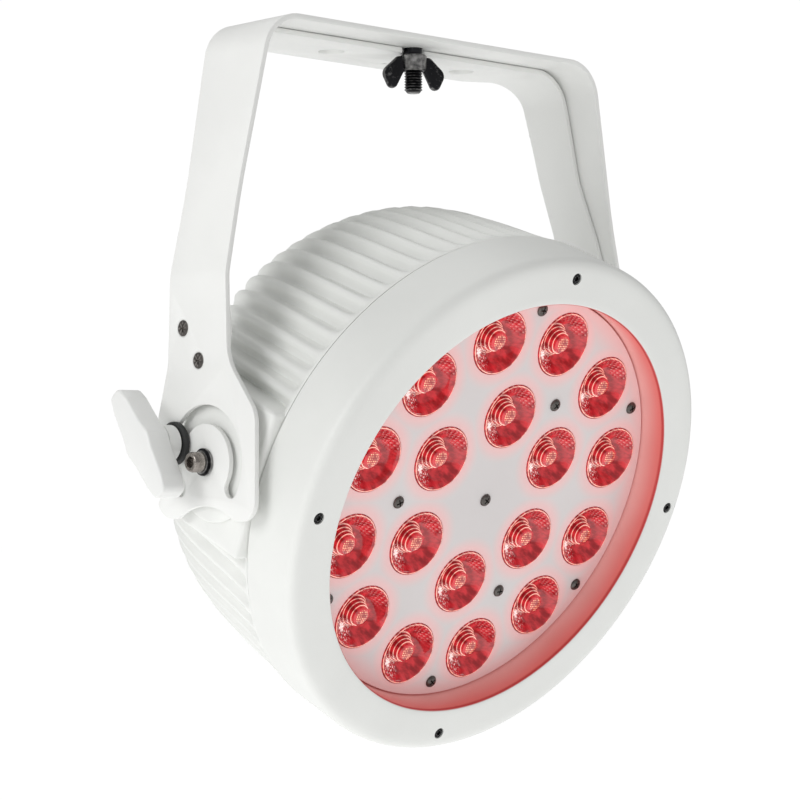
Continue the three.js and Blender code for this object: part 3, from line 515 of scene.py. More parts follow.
def wornMaterial(name, colour, bare, roughness, low, high):  # a plated or blackened metal with rubbed edges
    material = coatedMaterial(name, colour, roughness, size=0.0006, bump=0.15, metallic=0.9)
    tree = material.node_tree
    nodes = tree.nodes
    shader = nodes["Principled BSDF"]
    where = nodes.new("ShaderNodeTexCoord").outputs["Object"]
    rubbed = useGroup(nodes, wear, Low=low, High=high)
    tree.links.new(where, rubbed.inputs["Vector"])
    plain = shader.inputs["Base Color"].links[0].from_socket
    tree.links.new(blendColours(tree, rubbed.outputs["Mask"], plain, bare), shader.inputs["Base Color"])
    return material


def faceGlow(material, onPlate):  # red light from the lenses on the white plate and the rim's inner wall
    tree = material.node_tree
    nodes = tree.nodes
    shader = nodes["Principled BSDF"]
    where = nodes.new("ShaderNodeTexCoord").outputs["Object"]
    spotNode = useGroup(nodes, lensDistance)
    tree.links.new(where, spotNode.inputs["Vector"])
    plain = shader.inputs["Base Color"].links[0].from_socket
    if onPlate:
        near = between(tree, spotNode.outputs["Distance"], lensRadius, lensRadius + 10, 0.62, 0)
        outside = between(tree, spotNode.outputs["Radius"], 100, 117, 0, 0.5)
        mask = calc(tree, "MAXIMUM", near, outside)
        tint = blendColours(tree, mask, plain, (0.92, 0.50, 0.49))
        glow = blendColours(tree, mask, (0, 0, 0), (0.10, 0.02, 0.02))
    else:
        inside = between(tree, spotNode.outputs["Radius"], 117.7, 118.3, 1, 0)
        height = between(tree, spotNode.outputs["Forward"], 53, 71, 0, 1)
        band = blendColours(tree, height, (0.86, 0.50, 0.47), (0.80, 0.20, 0.18))
        edge = between(tree, spotNode.outputs["Forward"], 68.2, 70.2, 0, 1)
        band = blendColours(tree, edge, band, (0.50, 0.03, 0.03))
        tint = blendColours(tree, inside, plain, band)
        glow = blendColours(tree, inside, (0, 0, 0), (0.06, 0.01, 0.01))
    tree.links.new(tint, shader.inputs["Base Color"])
    tree.links.new(glow, shader.inputs["Emission Color"])
    shader.inputs["Emission Strength"].default_value = 1.0
    return material


def lensMaterial():  # red clear optic: painted highlight lines at the steps round a lit chip, a painted glint, and painted sparkle on small pillow facets out to the rim
    material, nodes, links, shader = newMaterial("redOptic")
    tree = material.node_tree
    spots = nodes.new("ShaderNodeUVMap")
    spots.uv_map = "lensFace"
    parts = nodes.new("ShaderNodeSeparateXYZ")
    links.new(spots.outputs["UV"], parts.inputs[0])
    a = calc(tree, "MULTIPLY_ADD", parts.outputs[0], 2 * lensRadius, -lensRadius)
    b = calc(tree, "MULTIPLY_ADD", parts.outputs[1], 2 * lensRadius, -lensRadius)
    radius = calc(tree, "SQRT", calc(tree, "ADD", calc(tree, "MULTIPLY", a, a), calc(tree, "MULTIPLY", b, b)))
    angle = calc(tree, "ARCTAN2", b, a)
    # pillow facets in rings
    ringWave = calc(tree, "SINE", calc(tree, "MULTIPLY", radius, 3.4))
    turnWave = calc(tree, "SINE", calc(tree, "MULTIPLY", angle, 30.0))
    facets = calc(tree, "MULTIPLY", ringWave, turnWave)
    upperRim = calc(tree, "MULTIPLY", between(tree, radius, 11.0, 13.0), between(tree, b, 2.0, 8.0))
    starA = calc(tree, "ADD", a, 5.5)
    starB = calc(tree, "ADD", b, 9.0)
    starAway = calc(tree, "SQRT", calc(tree, "ADD", calc(tree, "MULTIPLY", starA, starA),
                                       calc(tree, "MULTIPLY", starB, starB)))
    facetZone = calc(tree, "MAXIMUM", upperRim, between(tree, starAway, 3.0, 6.5, 1, 0))
    relief = nodes.new("ShaderNodeBump")
    relief.inputs["Strength"].default_value = 0.55
    relief.inputs["Distance"].default_value = 0.0006
    links.new(calc(tree, "MULTIPLY", facets, facetZone), relief.inputs["Height"])
    links.new(relief.outputs["Normal"], shader.inputs["Normal"])
    # mottled red depth
    cloud = nodes.new("ShaderNodeTexNoise")
    cloud.inputs["Scale"].default_value = 9
    cloud.inputs["Detail"].default_value = 5
    links.new(spots.outputs["UV"], cloud.inputs["Vector"])
    mottle = between(tree, cloud.outputs["Fac"], 0.35, 0.68)
    red = blendColours(tree, mottle, (0.33, 0.004, 0.010), (0.72, 0.045, 0.055))
    # painted highlights on the pillow facets
    facetHighlight = between(tree, calc(tree, "MULTIPLY", facets, facetZone), 0.15, 0.8, 0, 0.6)
    red = blendColours(tree, facetHighlight, red, (1.0, 0.50, 0.47))
    # a painted highlight at a fixed spot: a bright many-armed glint where the facets gather the light, with
    # painted glint specks round it
    starTurn = calc(tree, "ARCTAN2", starB, starA)
    arms = calc(tree, "ABSOLUTE", calc(tree, "COSINE", calc(tree, "MULTIPLY", starTurn, 3.0)))
    reach = calc(tree, "MULTIPLY_ADD", arms, 1.7, 0.8)
    star = between(tree, calc(tree, "SUBTRACT", starAway, reach), -0.7, 0.5, 1, 0)
    glintNoise = nodes.new("ShaderNodeTexNoise")
    glintNoise.inputs["Scale"].default_value = 42
    glintNoise.inputs["Detail"].default_value = 2
    links.new(spots.outputs["UV"], glintNoise.inputs["Vector"])
    # painted glint specks near the painted star
    glintSpecks = calc(tree, "MULTIPLY", between(tree, glintNoise.outputs["Fac"], 0.56, 0.64),
                  between(tree, starAway, 3.5, 8.0, 0.9, 0))
    star = calc(tree, "MAXIMUM", star, glintSpecks)
    red = blendColours(tree, star, red, (1.0, 0.93, 0.90))
    # painted highlights: thin bright lines at the steps round the chip, and at the rim, painted reflections of
    # the steps' walls
    stepHighlights = None
    for ring, width in ((5.8, 0.34), (6.75, 0.30), (7.75, 0.30), (9.0, 0.3), (17.4, 0.3)):
        off = calc(tree, "ABSOLUTE", calc(tree, "SUBTRACT", radius, ring))
        line = between(tree, off, width * 0.4, width, 1, 0)
        stepHighlights = calc(tree, "MAXIMUM", stepHighlights, line) if stepHighlights else line
    stepHighlights = calc(tree, "MULTIPLY", stepHighlights, between(tree, cloud.outputs["Fac"], 0.35, 0.55, 0.35, 1.0))
    red = blendColours(tree, calc(tree, "MULTIPLY", stepHighlights, 0.8), red, (1.0, 0.72, 0.60))
    # the chip's grid under the middle dome
    chip = between(tree, radius, 3.4, 4.2, 1, 0)
    gridA = calc(tree, "PINGPONG", calc(tree, "ADD", a, 40.0), 0.62)
    gridB = calc(tree, "PINGPONG", calc(tree, "ADD", b, 40.0), 0.62)
    square = between(tree, calc(tree, "MINIMUM", gridA, gridB), 0.18, 0.42)
    square = calc(tree, "MULTIPLY", square, between(tree, cloud.outputs["Fac"], 0.40, 0.60, 0.1, 0.9))
    lit = calc(tree, "MULTIPLY", square, chip)
    colour = blendColours(tree, lit, red, (1.0, 0.80, 0.52))
    links.new(colour, shader.inputs["Base Color"])
    redGlow = blendColours(tree, mottle, (0.05, 0.0, 0.001), (0.16, 0.004, 0.008))
    # the painted highlight lines and the painted glint also glow
    highlightGlow = blendColours(tree, stepHighlights, redGlow, (0.55, 0.25, 0.18))
    highlightGlow = blendColours(tree, star, highlightGlow, (0.55, 0.45, 0.43))
    links.new(blendColours(tree, lit, highlightGlow, (0.75, 0.42, 0.20)), shader.inputs["Emission Color"])
    shader.inputs["Emission Strength"].default_value = 1.0
    shader.inputs["Roughness"].default_value = 0.12
    shader.inputs["Coat Weight"].default_value = 0.6
    shader.inputs["Coat Roughness"].default_value = 0.04
    return material


bodyWhite = coatedMaterial("bodyCoat", (0.83, 0.84, 0.815), 0.46)
bracketWhite = coatedMaterial("bracketCoat", (0.85, 0.855, 0.835), 0.44)
rimWhite = faceGlow(coatedMaterial("rimCoat", (0.79, 0.80, 0.775), 0.46), False)
plateWhite = faceGlow(coatedMaterial("plateCoat", (0.72, 0.69, 0.685), 0.5, bump=0.1), True)
redOptic = lensMaterial()
knobWhite = coatedMaterial("knobMoulding", (0.83, 0.835, 0.82), 0.38, size=0.0007, bump=0.12, coat=0.1)
nickel = wornMaterial("nickelPlate", (0.26, 0.235, 0.215), (0.60, 0.56, 0.52), 0.24, 0.53, 0.66)
darkNickel = wornMaterial("darkNickelPlate", (0.10, 0.092, 0.086), (0.30, 0.28, 0.26), 0.34, 0.54, 0.66)
blackScrew = wornMaterial("blackScrew", (0.012, 0.012, 0.013), (0.16, 0.16, 0.16), 0.4, 0.60, 0.75)
blackMetal = wornMaterial("blackOxide", (0.018, 0.018, 0.020), (0.55, 0.54, 0.53), 0.36, 0.53, 0.63)
rubberBlack = coatedMaterial("rubberRing", (0.022, 0.023, 0.023), 0.62, size=0.0005, bump=0.3)
plasticBlack = coatedMaterial("blackMoulding", (0.020, 0.020, 0.021), 0.48, size=0.0006)
plasticBlue = coatedMaterial("blueInsert", (0.03, 0.12, 0.42), 0.42, size=0.0006)
plasticGrey = coatedMaterial("greyInsert", (0.42, 0.43, 0.44), 0.45, size=0.0006)
smokedWindow = coatedMaterial("smokedWindow", (0.012, 0.016, 0.020), 0.10, bump=0.02, coat=0.5)
boardGreen = coatedMaterial("boardMask", (0.02, 0.16, 0.07), 0.35, size=0.002, spread=0.3)
castAluminium = coatedMaterial("plainAluminium", (0.62, 0.63, 0.64), 0.34, size=0.0008, metallic=1.0)
gold = coatedMaterial("goldContact", (0.75, 0.52, 0.18), 0.25, size=0.0005, metallic=1.0)
print("finishes made")


yoke = {
    "sheet": 3, "height": -pivot.z / mm, "topHalfWidth": 123.4, "leanHeight": 96, "leanBend": 30,
    "topBend": 24, "studBack": -pivot.y / mm, "barFront": 24.5, "barRear": 27, "waistHeight": 140,
    "waistFront": 15, "waistRear": 28, "neckHeight": 50, "neckFront": 17.5, "neckRear": 31,
    "lobeHalf": 39.7, "lobeDrop": 29.5, "lobeRound": 11, "shoulderFront": 25, "shoulderRear": 21.5,
    "scallopDepth": 7, "scallopHalfSpan": 23, "slotRadius": lockBack, "slotHalf": 4.8, "slotEnd": 33,
    "edge": 0.55, "pivotHole": 3.4, "studHole": 9.8, "studHoleDepth": 2.5, "studBore": 5.3, "studBoreDepth": 6,
}
armScrews = {"pivot": (5.9, 51.7), "stop": (18.6, 68.6)}  # back and up from the pivot axis
armScrew = {"head": 4.3, "depth": 2, "shank": 2.2, "length": 6.2, "sunk": 0.05, "gap": 0.3}


def stripOutline(halfWidth, topHalf, top, foot):  # the bent sheet seen from the front
    sheet = yoke["sheet"]
    lean = math.atan2(halfWidth - topHalf, top - yoke["leanHeight"])
    topShift = sheet * math.tan((math.pi / 2 - lean) / 2)
    leanShift = sheet * math.tan(lean / 2)
    right = [(topHalf, top, yoke["topBend"]), (halfWidth, yoke["leanHeight"], yoke["leanBend"]),
             (halfWidth, foot, 0)]
    inside = [(halfWidth - sheet, foot, 0),
              (halfWidth - sheet, yoke["leanHeight"] - leanShift, yoke["leanBend"] - sheet),
              (topHalf - topShift, top - sheet, yoke["topBend"] - sheet)]
    left = [(-x, z, r) for x, z, r in reversed(right)]
    leftInside = [(-x, z, r) for x, z, r in reversed(inside)]
    return roundCorners([*right, *inside, *leftInside, *left], step=4)


def ringSlot(centre, radius, half, start, end):  # an arc slot with round ends, from start up to end
    def endSpot(angle):
        return (centre[0] + radius * math.cos(math.radians(angle)),
                centre[1] + radius * math.sin(math.radians(angle)))
    return [
        *arc(centre, radius + half, start, end, 5),
        *arc(endSpot(end), half, end, end + 180, 15)[1:],
        *arc(centre, radius - half, end, start, 5)[1:],
        *arc(endSpot(start), half, start + 180, start + 360, 15)[1:-1],
    ]


def countersink(side, back, up, grow):
    # cone and shank of an arm screw, as a cutter when grow is not 0
    profile = [(0, armFace + 1), (armScrew["head"] + grow + 0.6, armFace + 1),
               (armScrew["head"] + grow, armFace), (armScrew["shank"] + grow, armFace - armScrew["depth"]),
               (armScrew["shank"] + grow, armFace - 9), (0, armFace - 9)]
    tool = turned("countersink", [(r, side * x) for r, x in profile], axis="X", steps=32)
    place(tool, Matrix.Translation(Vector((0, back, up)) * mm))
    return tool


def makeYoke():
    far = armFace + 6
    reach = yoke["lobeHalf"] + 5
    body = plate("yokeSheet", stripOutline(armFace, yoke["topHalfWidth"], yoke["height"],
                                           -yoke["lobeDrop"] - 5), "front", -reach, reach)
    above = yoke["height"] + yoke["sheet"]
    half = yoke["lobeHalf"]
    outline = roundCorners([
        (-half, -yoke["lobeDrop"], yoke["lobeRound"]),
        (half, -yoke["lobeDrop"], yoke["lobeRound"]),
        (half, yoke["shoulderRear"], 2),
        (yoke["neckRear"], yoke["neckHeight"], 20),
        (yoke["waistRear"], yoke["waistHeight"], 200),
        (yoke["studBack"] + yoke["barRear"], above, 0),
        (yoke["studBack"] - yoke["barFront"], above, 0),
        (-yoke["waistFront"], yoke["waistHeight"], 200),
        (-yoke["neckFront"], yoke["neckHeight"] + 2, 25),
        (-half, yoke["shoulderFront"], 16),
    ])
    carve(body, plate("yokeSide", outline, "side", -far, far), operation="INTERSECT")
    depth = yoke["scallopDepth"]
    hollow = (yoke["scallopHalfSpan"] ** 2 + depth ** 2) / (2 * depth)
    carve(body, rod("lowerHollow", hollow, -far, far, "X", 0, depth - yoke["lobeDrop"] - hollow, 160))
    carve(body, rod("rearHollow", hollow, -far, far, "X", half - depth + hollow, 0, 160))
    slotEnds = (-yoke["slotEnd"], 180 + yoke["slotEnd"])
    carve(body, plate("lockSlot", ringSlot((0, 0), yoke["slotRadius"], yoke["slotHalf"], *slotEnds),
                      "side", -far, far))
    carve(body, rod("pivotHole", yoke["pivotHole"], -far, far, "X"))
    for cut, sides in (("studHole", 48), ("studBore", 32)):
        carve(body, rod(cut, yoke[cut], yoke["height"] - yoke[cut + "Depth"], yoke["height"] + 5, "Z",
                        0, yoke["studBack"], sides))
    for back, up in armScrews.values():
        for side in (-1, 1):
            carve(body, countersink(side, back, up, armScrew["gap"]))
    soften(body, yoke["edge"])
    place(body, onPivot)
    return finish(body, "yoke", "bracket_paint", bracketWhite, "outer_yoke")


inner = {
    "inset": 3.6, "topInset": 2.952, "topGap": 0.3, "barDepth": 50, "endRadius": 16.5, "notch": 5.5,
    "barHole": 7.2,
    "barHoles": (-39, 62), "smallHole": 2, "smallHoleAcross": 10, "smallHoleBehind": 9, "swing": 80,
    "screwHole": 2.6,
    "taperFrom": 88, "taper": 0.55, "taperDrop": 42,  # the bar's rear corners, cut back towards the arms
}


def makeInnerBracket():
    far = armFace + 4
    top = yoke["height"] - yoke["sheet"] - inner["topGap"]
    front = yoke["studBack"]
    rear = front + inner["barDepth"]
    body = plate("innerSheet", stripOutline(armFace - inner["inset"], yoke["topHalfWidth"] - inner["topInset"],
                                            top, 0), "front", -40, rear + 5)
    back, up = armScrews["pivot"]
    low = up - inner["endRadius"]
    outline = roundCorners([
        (back - inner["endRadius"], low, inner["endRadius"] - 2),
        (back + inner["endRadius"], low, inner["endRadius"] - 2),
        (back + 21, up + 15, 20),
        (27, 130, 60),
        (33, 166, 60),
        (36, 198, 20),
        (rear, 224, 6),
        (rear, yoke["height"], 0),
        (front, yoke["height"], 0),
        (front - 2, 200, 60),
        (3, 165, 60),
        (-5, 130, 60),
        (back - 20, up + 15, 20),
    ])
    carve(body, plate("innerSide", outline, "side", -far, far), operation="INTERSECT")
    start = inner["taperFrom"]
    end = rear - inner["taper"] * (armFace - start)
    for side in (-1, 1):
        corner = [(side * start, rear), (side * armFace, end), (side * armFace, rear + 4),
                  (side * start, rear + 4)]
        carve(body, plate("barCorner", corner, "top", yoke["height"] - inner["taperDrop"],
                          yoke["height"] + 2))
    low = yoke["height"] - 12
    middle = front + inner["barDepth"] / 2
    notch = inner["notch"]
    mouth = [(-notch - 4, front - 1), (notch + 4, front - 1), (notch, front + 3), (-notch, front + 3)]
    carve(body, plate("notchMouth", mouth, "top", low, low + 12))
    carve(body, rod("notch", notch, low, low + 12, "Z", 0, front))
    for across in inner["barHoles"]:
        carve(body, rod("barHole", inner["barHole"], low, low + 12, "Z", across, middle, 40))
    carve(body, rod("smallHole", inner["smallHole"], low, low + 12, "Z",
                    inner["smallHoleAcross"], middle + inner["smallHoleBehind"], 20))
    stopBack, stopUp = armScrews["stop"]
    radius = math.hypot(stopBack - back, stopUp - up)
    first = math.degrees(math.atan2(stopUp - up, stopBack - back))
    stopSlot = ringSlot((back, up), radius, inner["screwHole"], first, first + inner["swing"])
    carve(body, plate("stopSlot", stopSlot, "side", -far, far))
    carve(body, rod("innerPivotHole", inner["screwHole"], -far, far, "X", back, up))
    soften(body, yoke["edge"])
    place(body, onPivot)
    return finish(body, "bracket", "bracket_paint", bracketWhite, "inner_bracket")


def makeArmScrews():
    head, shank = armScrew["head"], armScrew["shank"]
    face = armFace - armScrew["sunk"]
    foot = face - armScrew["length"]
    screw = turned("bracketScrew", [
        (0, face), (head - 0.5, face), (head - 0.1, face - 0.25), (head, face - 0.5),
        (shank, face - armScrew["depth"]), (shank, foot), (0, foot)], axis="X", steps=32)
    cross = crossCutter("cross", 2.3, 0.75, face + 0.5, 1.9, "X")
    carve(screw, cross)
    soften(screw, 0.12, 1)
    for word, (back, up) in armScrews.items():
        for side, hand in ((-1, "left"), (1, "right")):
            name = "bracket_" + word + "_screw_" + hand
            made = copyOf(screw, name + "_fine") if side > 0 else mirrored(screw, name + "_fine")
            place(made, onPivot @ Matrix.Translation(Vector((0, back, up)) * mm))
            finish(made, "yoke", "nickel_steel", darkNickel, name)
    bpy.data.objects.remove(screw)


def threadProfile(radius, start, end, pitch):  # the teeth of a thread, from start up to end
    depth = 0.55 * pitch
    points = []
    count = int((end - start) / pitch)
    for k in range(count):
        low = start + k * pitch
        points += [(radius - depth, low), (radius, low + 0.42 * pitch), (radius, low + 0.58 * pitch)]
    return [*points, (radius - depth, start + count * pitch)]


stud = {"radius": 5, "length": 28, "pitch": 1.5, "headRadius": 9.5, "headDepth": 2.2}


def makeStud():
    top = yoke["height"]
    foot = top - stud["length"]
    radius = stud["radius"]
    thread = threadProfile(radius, foot + 1.1, top - 7, stud["pitch"])
    shaft = turned("hangingStud", [
        (0, foot), (radius - 1.6, foot), (radius - 0.9, foot + 0.8), *thread,
        (radius, top - 5.6), (radius, top - stud["headDepth"]), (stud["headRadius"], top - stud["headDepth"]),
        (stud["headRadius"], top - 0.5), (stud["headRadius"] - 0.5, top), (0, top)], axis="Z", steps=40)
    place(shaft, onPivot @ Matrix.Translation(Vector((0, yoke["studBack"], 0)) * mm))
    return finish(shaft, "yoke", "black_oxide", blackMetal, "hanging_stud", smooth=30)


nut = {"hubRadius": 7.5, "hubHeight": 8.8, "bore": 5.3, "span": 19.5, "drop": 14, "thick": 3.2, "turn": -20,
       "gap": 0.9}  # from the inner bracket's bar


def makeWingNut():
    radius, height, span = nut["hubRadius"], nut["hubHeight"], nut["span"]
    half = nut["thick"] / 2
    hub = turned("wingNut", [
        (nut["bore"], 0), (radius - 0.6, 0), (radius, -0.7), (radius - 0.5, -height + 1),
        (radius - 1.4, -height), (nut["bore"], -height)], axis="Z", steps=48, closed=True)
    for side in (-1, 1):
        wing = roundCorners([
            (side * (radius - 2), -0.6, 0), (side * (radius - 2), -height + 0.6, 0),
            (side * (span - 6.5), -height - nut["drop"], 3.2), (side * span, -height - 1, 5),
            (side * (radius + 2.5), -1, 3)], step=12)
        lobe = plate("wing", wing, "front", -half, half)
        soften(lobe, 0.9, 3)
        carve(hub, lobe, operation="UNION")
    soften(hub, 0.35, 2, angle=50)
    clamped = yoke["height"] - 2 * yoke["sheet"] - nut["gap"]
    place(hub, onPivot @ Matrix.Translation(Vector((0, yoke["studBack"], clamped)) * mm)
          @ Matrix.Rotation(math.radians(nut["turn"]), 4, "Z"))
    return finish(hub, "nut", "black_oxide", blackMetal, "wing_nut")


def bothSides(piece, name, body, slotName, material, matrix=onHead, bodies=None):
    # the right-hand piece and its mirror image, each standing for its own node
    for side, hand in ((-1, "left"), (1, "right")):
        made = copyOf(piece, name + "_" + hand + "_fine") if side > 0 else mirrored(
            piece, name + "_" + hand + "_fine")
        place(made, matrix)
        finish(made, bodies[hand] if bodies else body, slotName, material, name + "_" + hand)
    bpy.data.objects.remove(piece)


pivots = {"gap": 0.3, "bore": 3.3, "washerThick": 2.8, "screwHead": 6.2, "socket": 3.15, "socketDepth": 3.4,
          "discRadius": 14, "discThick": 1.5}


def makePivots():
    bore = pivots["bore"]
    washer = armFace + pivots["gap"]
    thick = pivots["washerThick"]
    # two stacked washers under the cap screw
    stack = turned("pivotWashers", [
        (bore, washer), (6.8, washer), (7.1, washer + 0.3), (7.1, washer + 1.2), (6.4, washer + 1.35),
        (6.4, washer + 1.5), (6.0, washer + 1.6), (6.0, washer + thick - 0.2), (5.8, washer + thick),
        (bore, washer + thick)], axis="X", steps=48, closed=True)
    bothSides(stack, "pivot_washer", "head", "black_rubber", blackMetal)
    seat = washer + thick + pivots["gap"]
    face = seat + pivots["screwHead"]
    screw = turned("capScrew", [
        (0, face), (4.2, face), (4.6, face - 0.25), (4.95, face - 0.9), (5.0, face - 1.5), (5.2, face - 1.6),
        (5.2, seat + 0.3), (4.9, seat),
        (3, seat), *[(r, seat - a) for r, a in threadProfile(3, 0.5, 16, 1)], (0, seat - 17)],
        axis="X", steps=48)
    carve(screw, rod("hexSocket", pivots["socket"], face - pivots["socketDepth"], face + 1, "X", sides=6))
    soften(screw, 0.15, 1, angle=50)
    bothSides(screw, "pivot_screw", "head", "nickel_steel", nickel)
    disc = armFace - yoke["sheet"] - pivots["gap"]
    inside, radius = disc - pivots["discThick"], pivots["discRadius"]
    friction = turned("frictionDisc", [
        (bore, disc), (radius - 0.5, disc), (radius, disc - 0.4), (radius, inside + 0.4),
        (radius - 0.5, inside), (bore, inside)], axis="X", steps=64, closed=True)
    bothSides(friction, "pivot_disc", "head", "black_rubber", rubberBlack)


knob = {"hubRadius": 9.5, "hubHeight": 8.2, "wingThick": 14, "length": 32.5, "half": 6.8, "middle": 10.6,
        "turn": 30, "washer": 11.2, "washerThick": 3.5, "bore": 4.3, "stud": 4, "studPitch": 1.25,
        "studInside": 16.5, "studEnd": 6}  # stud ends: inside the arm's face, and below the wing's


def makeKnobs():
    onLock = onHead @ Matrix.Translation(Vector((0, lockBack, 0)) * mm)
    knobBodies = {"left": "knob_left", "right": "knob_right"}
    bore = knob["bore"]
    near, radius = armFace + 0.3, knob["washer"]
    far = near + knob["washerThick"]
    ring = turned("lockWasher", [
        (bore, near), (radius - 0.8, near), (radius, near + 0.9), (radius, far - 0.9), (radius - 0.8, far),
        (bore, far)], axis="X", steps=64, closed=True)
    bothSides(ring, "tilt_lock_washer", "", "black_rubber", rubberBlack, onLock, knobBodies)
    wingTo = knobFace
    wingFrom = wingTo - knob["wingThick"]
    hubFrom = wingFrom - knob["hubHeight"]
    stub = armFace - knob["studInside"]
    top = wingTo - knob["studEnd"]
    thread = threadProfile(knob["stud"], 0.4, top - 0.5 - stub, knob["studPitch"])
    bolt = turned("lockStud", [(0, stub), *[(r, stub + a) for r, a in thread], (0, top)], axis="X", steps=32)
    bothSides(bolt, "tilt_lock_stud", "", "nickel_steel", nickel, onLock, knobBodies)
    tip, half, middle = knob["length"], knob["half"], knob["middle"]
    quarter = [(tip, half * 0.62, 4), (tip - 8, half, 10), (middle * 0.8, half + 1.6, 6), (0, middle, 9)]
    upper = [*quarter, *[(-a, b, r) for a, b, r in reversed(quarter[:-1])]]
    outline = roundCorners([*upper, *[(-a, -b, r) for a, b, r in upper]], step=8)
    wing = plate("knobWing", outline, "side", wingFrom, wingTo)
    soften(wing, 1.3, 3, angle=50)
    hubRadius = knob["hubRadius"]
    hub = turned("knobHub", [
        (bore, hubFrom), (hubRadius - 0.9, hubFrom), (hubRadius, hubFrom + 0.8), (hubRadius, wingFrom + 2),
        (bore, wingFrom + 2)], axis="X", steps=48, closed=True)
    carve(wing, hub, operation="UNION")
    carve(wing, rod("knobBore", bore, hubFrom - 1, top + 0.3, "X", sides=32))
    soften(wing, 0.5, 2, angle=50)
    turn = onLock @ Matrix.Rotation(math.radians(knob["turn"]), 4, "X")
    bothSides(wing, "tilt_knob", "", "white_moulding", knobWhite, turn, knobBodies)


housing = {
    "ribs": 72, "facets": 8,
    "crest": [(142, 33), (142, 31.6), (141.8, 30), (141.4, 27.5), (140.9, 24), (140.4, 20), (139.4, 10),
              (138.6, 0), (137.7, -10), (136.6, -20), (135.3, -30), (133.5, -40), (131, -50), (128.6, -56),
              (125.6, -62), (121.8, -68), (117.6, -74), (112.8, -79.5), (108, -84),
              (103.8, -87), (101.4, -88)],
    "grooves": {0: 0.0, 1: 0.35, 2: 2.9, 3: 4.9, 4: 5.6},  # depth at each facet from the crest
    "inside": [(99, -88), (97.8, -87.4), (97.8, -83.4), (94.4, -83.4), (110, -66), (121, -48), (130.5, 28),
               (135.4, 36), (135.4, 41), (113.5, 41), (113.5, 51.8), (116.5, 51.8), (116.5, 44),
               (138.6, 44), (138.6, 33)],
    "padHalf": 40, "padRear": 34, "padFace": 144, "padRound": 18, "padInner": 120,
    "bossRadius": 31, "bossGap": 2.1,
}


def grooveShare(forward):  # the grooves run out before the rim and towards the back edge
    if forward > 31:
        return 0
    if forward > 27:
        return 0.55 if forward < 29 else 0.2
    if forward < -80:
        return 0.35 if forward < -86 else 0.7
    return 1


def makeHousing():
    count = housing["ribs"] * housing["facets"]
    radius, forward = housing["crest"][0]
    bpy.ops.mesh.primitive_circle_add(vertices=count, radius=radius * mm, rotation=(math.pi / 2, 0, 0),
                                      location=(0, -forward * mm, 0))
    drum = bpy.context.object
    drum.name = "ribbedHousing"
    bpy.ops.object.transform_apply()
    edit(drum, "EDGE")

    def growTo(points, last):
        for here in points:
            bpy.ops.mesh.extrude_region_move(
                TRANSFORM_OT_translate={"value": (0, -(here[1] - last[1]) * mm, 0)})
            scale = here[0] / last[0]
            bpy.ops.transform.resize(value=(scale, 1, scale))
            last = here

    growTo(housing["crest"][1:], housing["crest"][0])
    bpy.ops.object.mode_set(mode="OBJECT")
    step = 2 * math.pi / count
    shares = sorted({grooveShare(forward) for _, forward in housing["crest"]} - {0})
    for facet, depth in housing["grooves"].items():
        for share in shares:
            if not depth:
                continue

            def inGroove(x, y, z):
                nearby = round(math.atan2(z, x) / step) % housing["facets"]
                return min(nearby, housing["facets"] - nearby) == facet and grooveShare(-y) == share
            selectWhere(drum, inGroove)
            scale = 1 - depth * share / 138
            bpy.ops.transform.resize(value=(scale, 1, scale))
    last = housing["crest"][-1]
    selectWhere(drum, lambda x, y, z: y > -last[1] - 0.01)
    bpy.ops.mesh.select_mode(type="EDGE")
    growTo(housing["inside"], last)
    bpy.ops.mesh.select_mode(type="VERT")
    selectWhere(drum, lambda x, y, z: abs(y + 33) < 0.01 and math.hypot(x, z) > 137)
    bpy.ops.mesh.select_mode(type="EDGE")
    bpy.ops.mesh.bridge_edge_loops()
    bpy.ops.mesh.select_all(action="SELECT")
    bpy.ops.mesh.normals_make_consistent(inside=False)
    pieces = [drum]
    boss = armFace - yoke["sheet"] - housing["bossGap"]
    half = housing["padHalf"]
    pad = plate("pivotPad", roundCorners([
        (-32.8, -half, 0), (housing["padRear"], -half, housing["padRound"]),
        (housing["padRear"], half, housing["padRound"]), (-32.8, half, 0)]),
        "side", housing["padInner"], housing["padFace"])
    soften(pad, 2.5, 3, angle=50)
    radius = housing["bossRadius"]
    hub = turned("boss", [
        (0, 124), (radius, 124), (radius, boss - 1.2), (radius - 0.4, boss - 0.4), (radius - 1.2, boss),
        (0, boss)], axis="X", steps=96)
    carve(pad, hub, operation="UNION")
    carve(pad, rod("pivotThread", 3.3, 120, boss + 2, "X"))
    carve(pad, rod("lockThread", 4.3, 126, boss + 2, "X", lockBack, 0))
    pieces += [mirrored(pad, "leftPad"), pad]
    body = joined(pieces)
    place(body, onHead)
    return finish(body, "head", "body_paint", bodyWhite, "housing", smooth=50)


rim = {
    "profile": [
        (141.9, 33.3), (142.5, 34.0), (142.5, 62), (142.5, 64.6), (142.35, 66.4), (141.9, 67.9),
        (141.0, 69.2), (139.7, 70.1), (138.0, 70.7), (135.6, 71.0), (132, 71.1), (121.6, 71.1), (118.9, 71.1),
        (118.1, 70.9), (117.65, 70.4), (117.5, 69.7), (117.5, 60), (117.5, 54), (117.5, 44.3), (120.5, 44.3),
        (120.5, 66), (122.5, 68.1), (136, 68.1), (139.5, 64), (139.5, 52), (139.5, 33.3)],
    "screwCircle": 132, "screwHead": 2.9, "counterbore": 3.2, "screwHole": 1.8, "screwShank": 1.4,
}


def rimScrewSpots():
    return [(word, rim["screwCircle"] * math.cos(angle), rim["screwCircle"] * math.sin(angle))
            for word, angle in (("right", 0), ("top", math.pi / 2), ("left", math.pi),
                                ("bottom", -math.pi / 2))]


